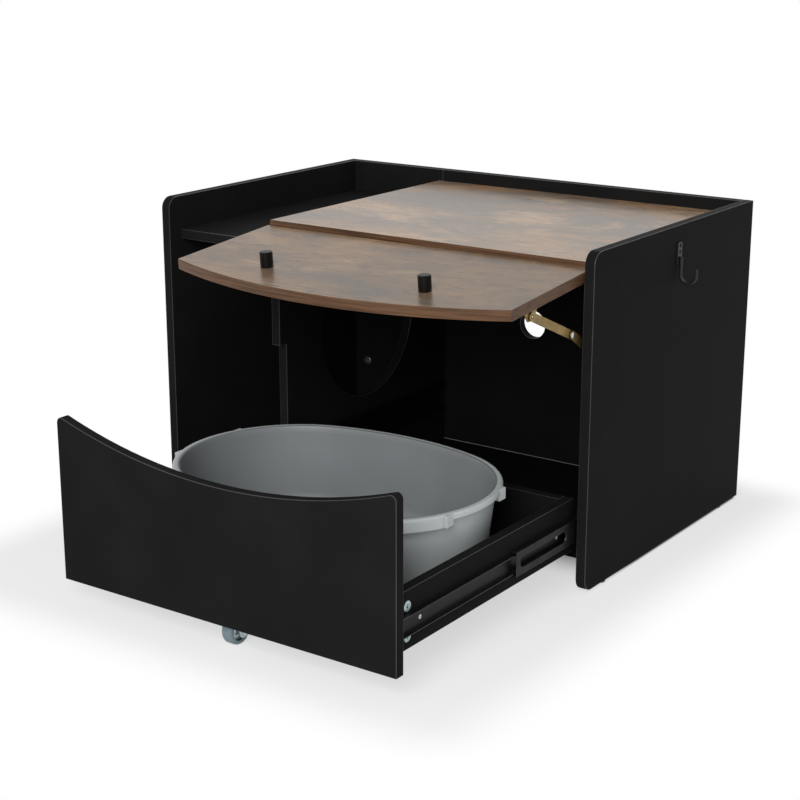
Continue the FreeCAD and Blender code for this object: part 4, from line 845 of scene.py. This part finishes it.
class LITTER_OT_slides(bpy.types.Operator):
    """Dress the ball slides: rolled edges, stamped beads and round balls in their cages"""

    bl_idname = "litter.slides"
    bl_label = "Ball slides"

    def execute(self, context):
        edge = context.scene.litter_cabinet.metal_edge
        for side in ("left", "right"):
            for member in ("cabinet", "drawer"):
                node = f"slide_{member}_member_{side}"
                stand_for(dressed(node, "_rolled", SLIDE_FINISHES, edge * 1.2, 0.03, 1), node)
            self.middle(side, edge)
            self.cages(side)
        return {"FINISHED"}

    @staticmethod
    def middle(side, edge):
        """The middle member, with a bead stamped round its slot."""
        node = "slide_middle_member_" + side
        piece = dressed(node, "_rolled", SLIDE_FINISHES, edge * 1.2, 0.03, 1)
        low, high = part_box(node)
        web = high[0] if side == "right" else low[0]
        inward = -1 if side == "right" else 1
        radius, wire, margin, run = 0.0090, 0.0008, 0.018, 0.104
        start = Vector((web + inward * 0.0014, low[1] + margin, (low[2] + high[2]) / 2))
        end = start + Vector((0, run, 0))
        rim = clothe(bead("bead", start, end, radius, wire), "slide_edge")
        stand_for(joined(node + "_rolled", piece, finish_shape(rim)), node)

    @staticmethod
    def cages(side):
        """Each ball row: a strip with a row of round balls."""
        node = "slide_ball_cages_" + side
        rows = []
        for corners in solids_of(node):
            low, high = extent(corners)
            middle = (low + high) / 2
            radius = (high.z - low.z) / 2
            strip_low = Vector((middle.x - radius * 0.7, low.y, middle.z - 0.0003))
            strip_high = Vector((middle.x + radius * 0.7, high.y, middle.z + 0.0003))
            rows.append(clothe(block("strip", strip_low, strip_high, 0.0001, 1), "bright_steel"))
            ball = fresh("ball", bpy.ops.mesh.primitive_uv_sphere_add, segments=12, ring_count=8,
                         radius=radius * 0.96)
            pitch = (high.y - low.y - 4 * radius) / (BALLS_PER_ROW - 1)
            spots = [Matrix.Translation((middle.x, low.y + 2 * radius + i * pitch, middle.z))
                     for i in range(BALLS_PER_ROW)]
            rows.append(clothe(finish_shape(placed(ball, "balls", spots), 60.0), "bright_steel"))
        stand_for(joined(node + "_filled", *rows), node)


# Caster

class LITTER_OT_caster(bpy.types.Operator):
    """Dress the caster: a bent fork, a riveted axle and a wheel with rounded shoulders"""

    bl_idname = "litter.caster"
    bl_label = "Caster"

    def execute(self, context):
        edge = context.scene.litter_cabinet.metal_edge * 1.6
        stand_for(dressed("caster_bracket", "_bent", ("zinc",), edge, 0.012), "caster_bracket")
        low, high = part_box("caster_wheel")
        middle = box_centre("caster_wheel")
        hub = high[0] - low[0]
        radius = (high[2] - low[2]) / 2
        half, bore = 0.0085, 0.0146
        tyre = mirrored([(-half, bore), (-half, radius * 0.86), (-half + 0.0008, radius * 0.94),
                         (-half + 0.0026, radius * 0.99), (-half + 0.0045, radius)])
        core = mirrored([(-hub / 2, 0.0034), (-hub / 2, 0.0054), (-hub / 2 + 0.0006, 0.006),
                         (-0.0045, 0.0062), (-0.0030, 0.0078), (-0.0030, 0.0130), (-0.0060, 0.0139),
                         (-0.0072, 0.0147)])
        rings = [placed(clothe(self.ringed(name, profile), finish), name, [spot(middle, ALONG_X)])
                 for name, profile, finish in (("tyre", tyre, "wheel_rubber"), ("core", core, "zinc"))]
        stand_for(finish_shape(joined("caster_wheel_moulded", *rings)), "caster_wheel")
        low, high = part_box("caster_axle")
        half = (high[0] - low[0]) / 2
        profile = mirrored([(half, 0.0026), (half - 0.0005, 0.0041), (half - 0.0012, 0.0048),
                            (half - 0.002, 0.0048), (half - 0.002, 0.003)])
        set_turned("caster_axle", "_turned", profile, 32, [spot(box_centre("caster_axle"), ALONG_X)],
                   "bright_steel")
        return {"FINISHED"}

    @staticmethod
    def ringed(name, profile):
        """A ring of revolution about Z, closed on itself."""
        piece = turned(name, profile, 56)
        choose(piece, edit(piece, "FACE").faces, lambda face: len(face.verts) > 4)
        bpy.ops.mesh.bridge_edge_loops()
        close_up()
        return piece


# Litter pan

def pan_outline(length, width, end):
    """A four-arc oval about the origin: a function from a share of the way round to a point."""
    run, bow = length - end, width - end
    drop = (run * run - bow * bow) / (2 * bow)
    side = width + drop
    turn = math.atan2(drop, run)
    arcs = [(Vector((run, 0, 0)), end, -turn, turn), (Vector((0, -drop, 0)), side, turn, math.pi - turn),
            (Vector((-run, 0, 0)), end, math.pi - turn, math.pi + turn),
            (Vector((0, drop, 0)), side, math.pi + turn, 2 * math.pi - turn)]
    lengths = [radius * (stop - start) for _, radius, start, stop in arcs]

    def point(share):
        along = (share % 1.0) * sum(lengths)
        for (centre, radius, start, _), arc in zip(arcs, lengths):
            if along <= arc:
                break
            along -= arc
        angle = start + along / radius
        return centre + Vector((math.cos(angle), math.sin(angle), 0)) * radius
    return point


class LITTER_OT_pan(bpy.types.Operator):
    """Mould the litter pan: a round-footed tray with a rolled rim, a skirt and four clip tabs"""

    bl_idname = "litter.pan"
    bl_label = "Litter pan"

    def execute(self, context):
        settings = context.scene.litter_cabinet
        low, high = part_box("litter_pan")
        self.middle = box_centre("litter_pan")
        self.length = (high[0] - low[0]) / 2 - 0.003
        self.width = (high[1] - low[1]) / 2
        self.base, self.top = low[2], high[2]
        self.wall = settings.pan_wall
        pan = self.tray(settings.pan_corners)
        clothe(finish_shape(pan, 45.0), "pan_plastic", "pan_inside")
        # The inward faces and the inner floor take the darker inside colour: painted shade.
        for face in pan.data.polygons:
            inward = (self.middle - face.center).xy.dot(face.normal.xy) > 0.02
            face.material_index = int(inward or (face.normal.z > 0.5 and face.center.z < self.base + 0.06))
        tabs = [clothe(self.tab(side, offset), "pan_plastic")
                for side in (-1, 1) for offset in (-TAB_OFFSET, TAB_OFFSET)]
        stand_for(joined("litter_pan_moulded", pan, *tabs), "litter_pan")
        return {"FINISHED"}

    def ring(self, inset, height, count):
        outline = pan_outline(self.length - inset, self.width - inset, self.width - PAN_BOW - inset)
        return [self.middle.xy.to_3d() + outline(i / count) + Vector((0, 0, height)) for i in range(count)]

    def skirt_foot(self, point):
        """The skirt's lower edge: higher between the two clip tabs of each end."""
        between, short, deep = 0.056, 0.008, 0.017
        away = abs(point.y - self.middle.y)
        at_end = abs(point.x - self.middle.x) > self.length * 0.6
        return self.top - (short if away < between and at_end else deep)

    def tray(self, count):
        """The pan's shell, ring by ring from the outer foot, over the rim and down to the inner floor."""
        rim, taper, wall = 0.009, 0.012, self.wall
        foot = rim + taper
        outside = [(foot + 0.014, 0.0), (foot + 0.0075, 0.0012), (foot + 0.0028, 0.0048), (foot, 0.0120),
                   (foot - 0.0006, 0.018)]
        rings = [(inset, self.base + up) for inset, up in outside]
        rings += [(rim + 0.0006, self.top - 0.014), (rim - 0.0004, self.top - 0.0045),
                  (rim - 0.0022, self.top - wall)]
        rings += [(wall, self.top - wall), (wall, None), (wall * 0.5, None), (0.0, None)]
        rings += [(0.0, self.top - 0.0036), (0.0004, self.top - 0.0016), (0.0016, self.top - 0.0003),
                  (0.0034, self.top), (rim + wall - 0.0040, self.top),
                  (rim + wall - 0.0012, self.top - 0.0006), (rim + wall, self.top - 0.0026),
                  (rim + wall + 0.0012, self.top - 0.010)]
        rings += [(inset + wall, self.base + up + wall) for inset, up in reversed(outside)]
        pan = fresh("litter_pan_moulded", bpy.ops.mesh.primitive_circle_add, vertices=count, radius=1.0,
                    fill_type="NGON")
        bpy.ops.object.mode_set(mode="EDIT")
        mesh = bmesh.from_edit_mesh(pan.data)
        mesh.verts.ensure_lookup_table()
        order = {corner.index: corner.index for corner in mesh.verts}
        self.lay(mesh, rings[0], list(mesh.verts), order, count)
        for place in rings[1:]:
            before = {tuple(round(c, 6) for c in corner.co): order[corner.index]
                      for corner in mesh.verts if corner.select}
            bpy.ops.mesh.extrude_region()
            mesh = bmesh.from_edit_mesh(pan.data)
            mesh.verts.index_update()
            chosen = [corner for corner in mesh.verts if corner.select]
            order = {corner.index: before[tuple(round(c, 6) for c in corner.co)] for corner in chosen}
            self.lay(mesh, place, chosen, order, count)
        bmesh.update_edit_mesh(pan.data)
        close_up()
        return pan

    def lay(self, mesh, place, corners, order, count):
        """Puts a ring's corners on their outline."""
        inset, height = place
        points = self.ring(inset, height or 0.0, count)
        for corner in corners:
            point = points[order[corner.index]]
            if height is None:
                point.z = self.skirt_foot(point) + (0.0005 if inset == self.wall else 0.0)
            corner.co = point

    def tab(self, side, offset):
        """A clip tab: a rounded block on the skirt."""
        edge_x = self.middle.x + side * self.edge_reach(offset)
        x_low, x_high = sorted((edge_x + side * 0.0026, edge_x - side * 0.0035))
        y = self.middle.y + offset
        low, high = (x_low, y - 0.008, self.top - 0.0168), (x_high, y + 0.008, self.top - 0.0006)
        return finish_shape(block("tab", low, high, 0.0012, 3))

    def edge_reach(self, offset):
        """How far the rim reaches in X at a distance from its middle line."""
        end = self.width - PAN_BOW
        return self.length - end + math.sqrt(end * end - offset * offset)


# Scoop hook and glides

class LITTER_OT_hook(bpy.types.Operator):
    """Bend the scoop hook: a rounded plate and a rod with a J bend and a domed tip"""

    bl_idname = "litter.hook"
    bl_label = "Scoop hook"

    def execute(self, context):
        low, high = (Vector(corner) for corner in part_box("scoop_hook"))
        y = (low.y + high.y) / 2
        reach, tall, thick, rod_drop = 0.0065, 0.034, 0.002, 0.021
        plate = block("plate", (low.x, y - reach, high.z - tall), (low.x + thick, y + reach, high.z))
        choose(plate, edit(plate, "EDGE").edges,
               lambda edge: abs(edge.verts[0].co.x - edge.verts[1].co.x) > 0.001)
        bpy.ops.mesh.bevel(offset=0.0032, segments=5, affect="EDGES", clamp_overlap=False)
        leave()
        broken_edges(plate, 0.0004, 0.01)
        finish_shape(plate)
        piece = joined("scoop_hook_bent", plate, self.rod(low.x + thick, y, high.z - rod_drop))
        stand_for(clothe(piece, "black_metal"), "scoop_hook")
        return {"FINISHED"}

    @staticmethod
    def rod(face_x, y, top_z):
        """The rod: down from the plate, round the bend and up to its tip."""
        radius, bend, shank = 0.0023, 0.012, 0.025
        x = face_x + radius
        piece = fresh("rod", bpy.ops.mesh.primitive_circle_add, vertices=18, radius=radius, fill_type="NGON",
                      location=(x, y, top_z))
        bpy.ops.object.transform_apply(location=True, rotation=False, scale=False)
        bpy.ops.object.mode_set(mode="EDIT")
        bpy.ops.mesh.extrude_region_move(TRANSFORM_OT_translate={"value": (0, 0, -shank)})
        bpy.ops.mesh.spin(steps=20, angle=math.pi, center=(x + bend, y, top_z - shank), axis=(0, 1, 0))
        tip = top_z - shank
        rise = 0
        for step, share in ((0.0072, 1.0), (0.0008, 0.93), (0.0007, 0.72), (0.0004, 0.5)):
            bpy.ops.mesh.extrude_region_move(TRANSFORM_OT_translate={"value": (0, 0, step)})
            rise += step
            bpy.ops.transform.resize(value=(share, share, 1), center_override=(x + 2 * bend, y, tip + rise))
        bpy.ops.mesh.select_all(action="SELECT")
        bpy.ops.mesh.remove_doubles(threshold=MERGE)
        close_up()
        return finish_shape(piece)


class LITTER_OT_glides(bpy.types.Operator):
    """Mould the round floor glides"""

    bl_idname = "litter.glides"
    bl_label = "Floor glides"

    def execute(self, context):
        height, radius = 0.004, 0.0065
        profile = [(height, radius), (0.0016, radius), (0.0008, radius * 0.96), (0.0002, radius * 0.88),
                   (0.0, radius * 0.78)]
        spots = []
        for corners in solids_of("floor_glides"):
            middle = mean(corners)
            spots.append(Matrix.Translation((middle.x, middle.y, 0.0)))
        set_turned("floor_glides", "_moulded", profile, 28, spots, "glide_plastic")
        return {"FINISHED"}


# Stage

def beyond(finish, low, high, margin=0.0):
    """How far a point of the floor lies outside a box's footprint."""
    middle = ((low[0] + high[0]) / 2, (low[1] + high[1]) / 2, 0.0)
    half = ((high[0] - low[0]) / 2 + margin, (high[1] - low[1]) / 2 + margin, 0.0)
    steps = (("SUBTRACT", middle), ("ABSOLUTE", None), ("SUBTRACT", half), ("MAXIMUM", (0.0, 0.0, -1.0)),
             ("MULTIPLY", (1.0, 1.0, 0.0)))
    place = finish.place
    for operation, other in steps:
        inputs = {0: place, 1: other} if other else {0: place}
        place = finish.node("ShaderNodeVectorMath", {"operation": operation}, inputs).outputs[0]
    return finish.number("ShaderNodeVectorMath", {"operation": "LENGTH"}, {0: place}, 1)


class LITTER_OT_stage(bpy.types.Operator):
    """Set the pale floor, the white background, the soft lights and the camera"""

    bl_idname = "litter.stage"
    bl_label = "Stage"

    def execute(self, context):
        settings = context.scene.litter_cabinet
        self.floor(settings)
        self.world(context, settings)
        self.lights(settings)
        self.camera(context, settings)
        context.scene.view_settings.view_transform = "Standard"
        return {"FINISHED"}

    @staticmethod
    def floor(settings):
        """A pale floor with painted shade inside the carcass, that turns white away from the cabinet."""
        piece = fresh("studio_floor", bpy.ops.mesh.primitive_circle_add, vertices=64, radius=9.0,
                      fill_type="NGON")
        finish = Finish("studio_floor", settings.floor_colour, 0.9, 0.0, 0.0)
        away = beyond(finish, *CAD_BOX)
        left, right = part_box("left_side_panel"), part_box("right_side_panel")
        front = left[0][1]
        # Inside the carcass the floor is painted near black, fading in from behind the front edge: painted
        # shade, not a dark floor.
        shade = 1.0 - beyond(finish, left[0], right[1], -PAINTED_SHADE_INSET).steps(0.0, PAINTED_SHADE_INSET)
        painted_shade_start, painted_shade_full, dark = front + 0.04, front + 0.17, (0.01, 0.01, 0.01)
        shade = shade * finish.axis(1).steps(painted_shade_start, painted_shade_full)
        finish.feed("Base Color", finish.mix(shade, settings.floor_colour, dark))
        glow = settings.floor_glow
        whiteness = away.steps(0.0, settings.floor_reach) * (1.0 - glow) + glow
        share = finish.light_path() * whiteness * (1.0 - shade)
        white = finish.node("ShaderNodeEmission", None, {"Strength": 1.0})
        finish.blend(share, finish.shader, white, "Material Output")
        piece.data.materials.append(finish.material)

    @staticmethod
    def world(context, settings):
        """White for the camera and for reflections, and a soft grey light otherwise."""
        world = bpy.data.worlds.new("studio")
        context.scene.world = world
        world.use_nodes = True
        nodes = Nodes(world.node_tree)
        soft = world.node_tree.nodes["Background"]
        nodes.join(soft.inputs["Color"], (1.0, 1.0, 1.0, 1.0))
        nodes.join(soft.inputs["Strength"], settings.sky_light)
        white = nodes.node("ShaderNodeBackground", None, {"Color": (1.0, 1.0, 1.0, 1.0)})
        nodes.blend(nodes.light_path(), soft, white, "World Output")

    @staticmethod
    def lights(settings):
        """A large soft key light from the front right, above the cabinet."""
        key = bpy.data.lights.new("key_light", "AREA")
        key.shape = "DISK"
        key.size = settings.key_size
        key.energy = settings.key_power
        lamp = linked("key_light", key)
        lamp.location = settings.key_place
        aim = Vector((0.0, 0.0, 0.25)) - lamp.location
        lamp.rotation_euler = aim.to_track_quat("-Z", "Y").to_euler()

    @staticmethod
    def camera(context, settings):
        lens = bpy.data.cameras.new("photo_camera")
        lens.lens = settings.lens
        lens.sensor_width = 36.0
        camera = linked("photo_camera", lens)
        camera.location = settings.camera_place
        camera.rotation_euler = (math.pi / 2 - settings.camera_pitch, 0.0, settings.camera_yaw)
        context.scene.camera = camera


def tint(name, description, *default):
    """A colour setting."""
    return FloatVectorProperty(name=name, description=description, subtype="COLOR", default=default)


def length(name, description, default):
    """A setting in metres."""
    return FloatProperty(name=name, description=description, unit="LENGTH", default=default, precision=5)


class LitterCabinetSettings(bpy.types.PropertyGroup):
    """Sizes, colours and lights of the litter cabinet's looks."""

    board_edge: length("Board edge", "How far a board's edges are broken", 0.0008)
    metal_edge: length("Metal edge", "How far pressed metal's edges are broken", 0.00025)
    door_tilt: FloatProperty(name="Door tilt", description="How far the open door is off level",
                             default=math.radians(5.0), unit="ROTATION")
    pan_wall: length("Pan wall", "Thickness of the litter pan's wall", 0.0025)
    pan_corners: IntProperty(name="Pan corners", description="Corners in each ring of the pan", default=192)
    board_colour: tint("Board", "Colour of the black boards", 0.0108, 0.0105, 0.0105)
    # The broken edges' lighter grey is painted highlight; their higher gloss is the edge band's own.
    edge_painted_highlight: tint("Board edges", "Colour of the boards' broken edges", 0.030, 0.030, 0.030)
    wood_middle: tint("Wood", "Main colour of the wood print", 0.270, 0.158, 0.080)
    wood_grey: tint("Wood, grey patches", "Colour of the greyer wood", 0.115, 0.090, 0.070)
    wood_light: tint("Wood, light patches", "Colour of the lighter wood", 0.430, 0.270, 0.145)
    wood_band: tint("Wood edge band", "Colour of the wood's edge band", 0.095, 0.048, 0.024)
    pan_colour: tint("Pan", "Colour of the litter pan", 0.52, 0.555, 0.56)
    # The pan inside's darker colour is painted shade on the same plastic.
    pan_inside: tint("Pan inside", "Colour of the pan's inside", 0.20, 0.215, 0.222)
    floor_colour: tint("Floor", "Colour of the floor", 0.80, 0.80, 0.80)
    floor_glow: FloatProperty(name="Floor glow", description="Share of white in the floor beside the cabinet",
                              default=0.62, subtype="FACTOR")
    floor_reach: length("Floor reach", "How far from the cabinet the floor is white", 0.12)
    sky_light: FloatProperty(name="Sky light", description="Strength of the light from all round",
                             default=0.34)
    key_power: FloatProperty(name="Key light", description="Power of the key light", default=95.0,
                             unit="POWER")
    key_size: length("Key size", "Width of the key light", 2.2)
    key_place: FloatVectorProperty(name="Key place", description="Where the key light stands", unit="LENGTH",
                                   default=(1.1, -2.9, 1.8))
    lens: FloatProperty(name="Lens", description="Focal length", default=77.9, unit="CAMERA")
    camera_place: FloatVectorProperty(name="Camera place", description="Where the camera stands",
                                      unit="LENGTH", default=(1.4288, -1.9940, 0.9278))
    camera_pitch: FloatProperty(name="Camera pitch", description="How far the camera looks down",
                                default=0.284, unit="ROTATION")
    camera_yaw: FloatProperty(name="Camera yaw", description="How far the camera is turned to the left",
                              default=0.612, unit="ROTATION")


STEPS = (LITTER_OT_boards, LITTER_OT_wood, LITTER_OT_cams, LITTER_OT_screws, LITTER_OT_knobs,
         LITTER_OT_hinges_and_stay, LITTER_OT_slides, LITTER_OT_caster, LITTER_OT_pan, LITTER_OT_hook,
         LITTER_OT_glides, LITTER_OT_stage)


class LITTER_PT_panel(bpy.types.Panel):
    """The cabinet's steps and settings"""

    bl_label = "Litter Cabinet"
    bl_idname = "LITTER_PT_panel"
    bl_space_type = "VIEW_3D"
    bl_region_type = "UI"
    bl_category = "Litter Cabinet"

    def draw(self, context):
        for step in STEPS:
            self.layout.operator(step.bl_idname)
        settings = context.scene.litter_cabinet
        for name in LitterCabinetSettings.__annotations__:
            self.layout.prop(settings, name)


CLASSES = (LitterCabinetSettings,) + STEPS + (LITTER_PT_panel,)


def register():
    for each in CLASSES:
        bpy.utils.register_class(each)
    bpy.types.Scene.litter_cabinet = PointerProperty(type=LitterCabinetSettings)


def unregister():
    del bpy.types.Scene.litter_cabinet
    for each in reversed(CLASSES):
        bpy.utils.unregister_class(each)


def main():
    register()
    for step in STEPS:
        family, name = step.bl_idname.split(".")
        getattr(getattr(bpy.ops, family), name)()


if __name__ == "__main__":
    main()
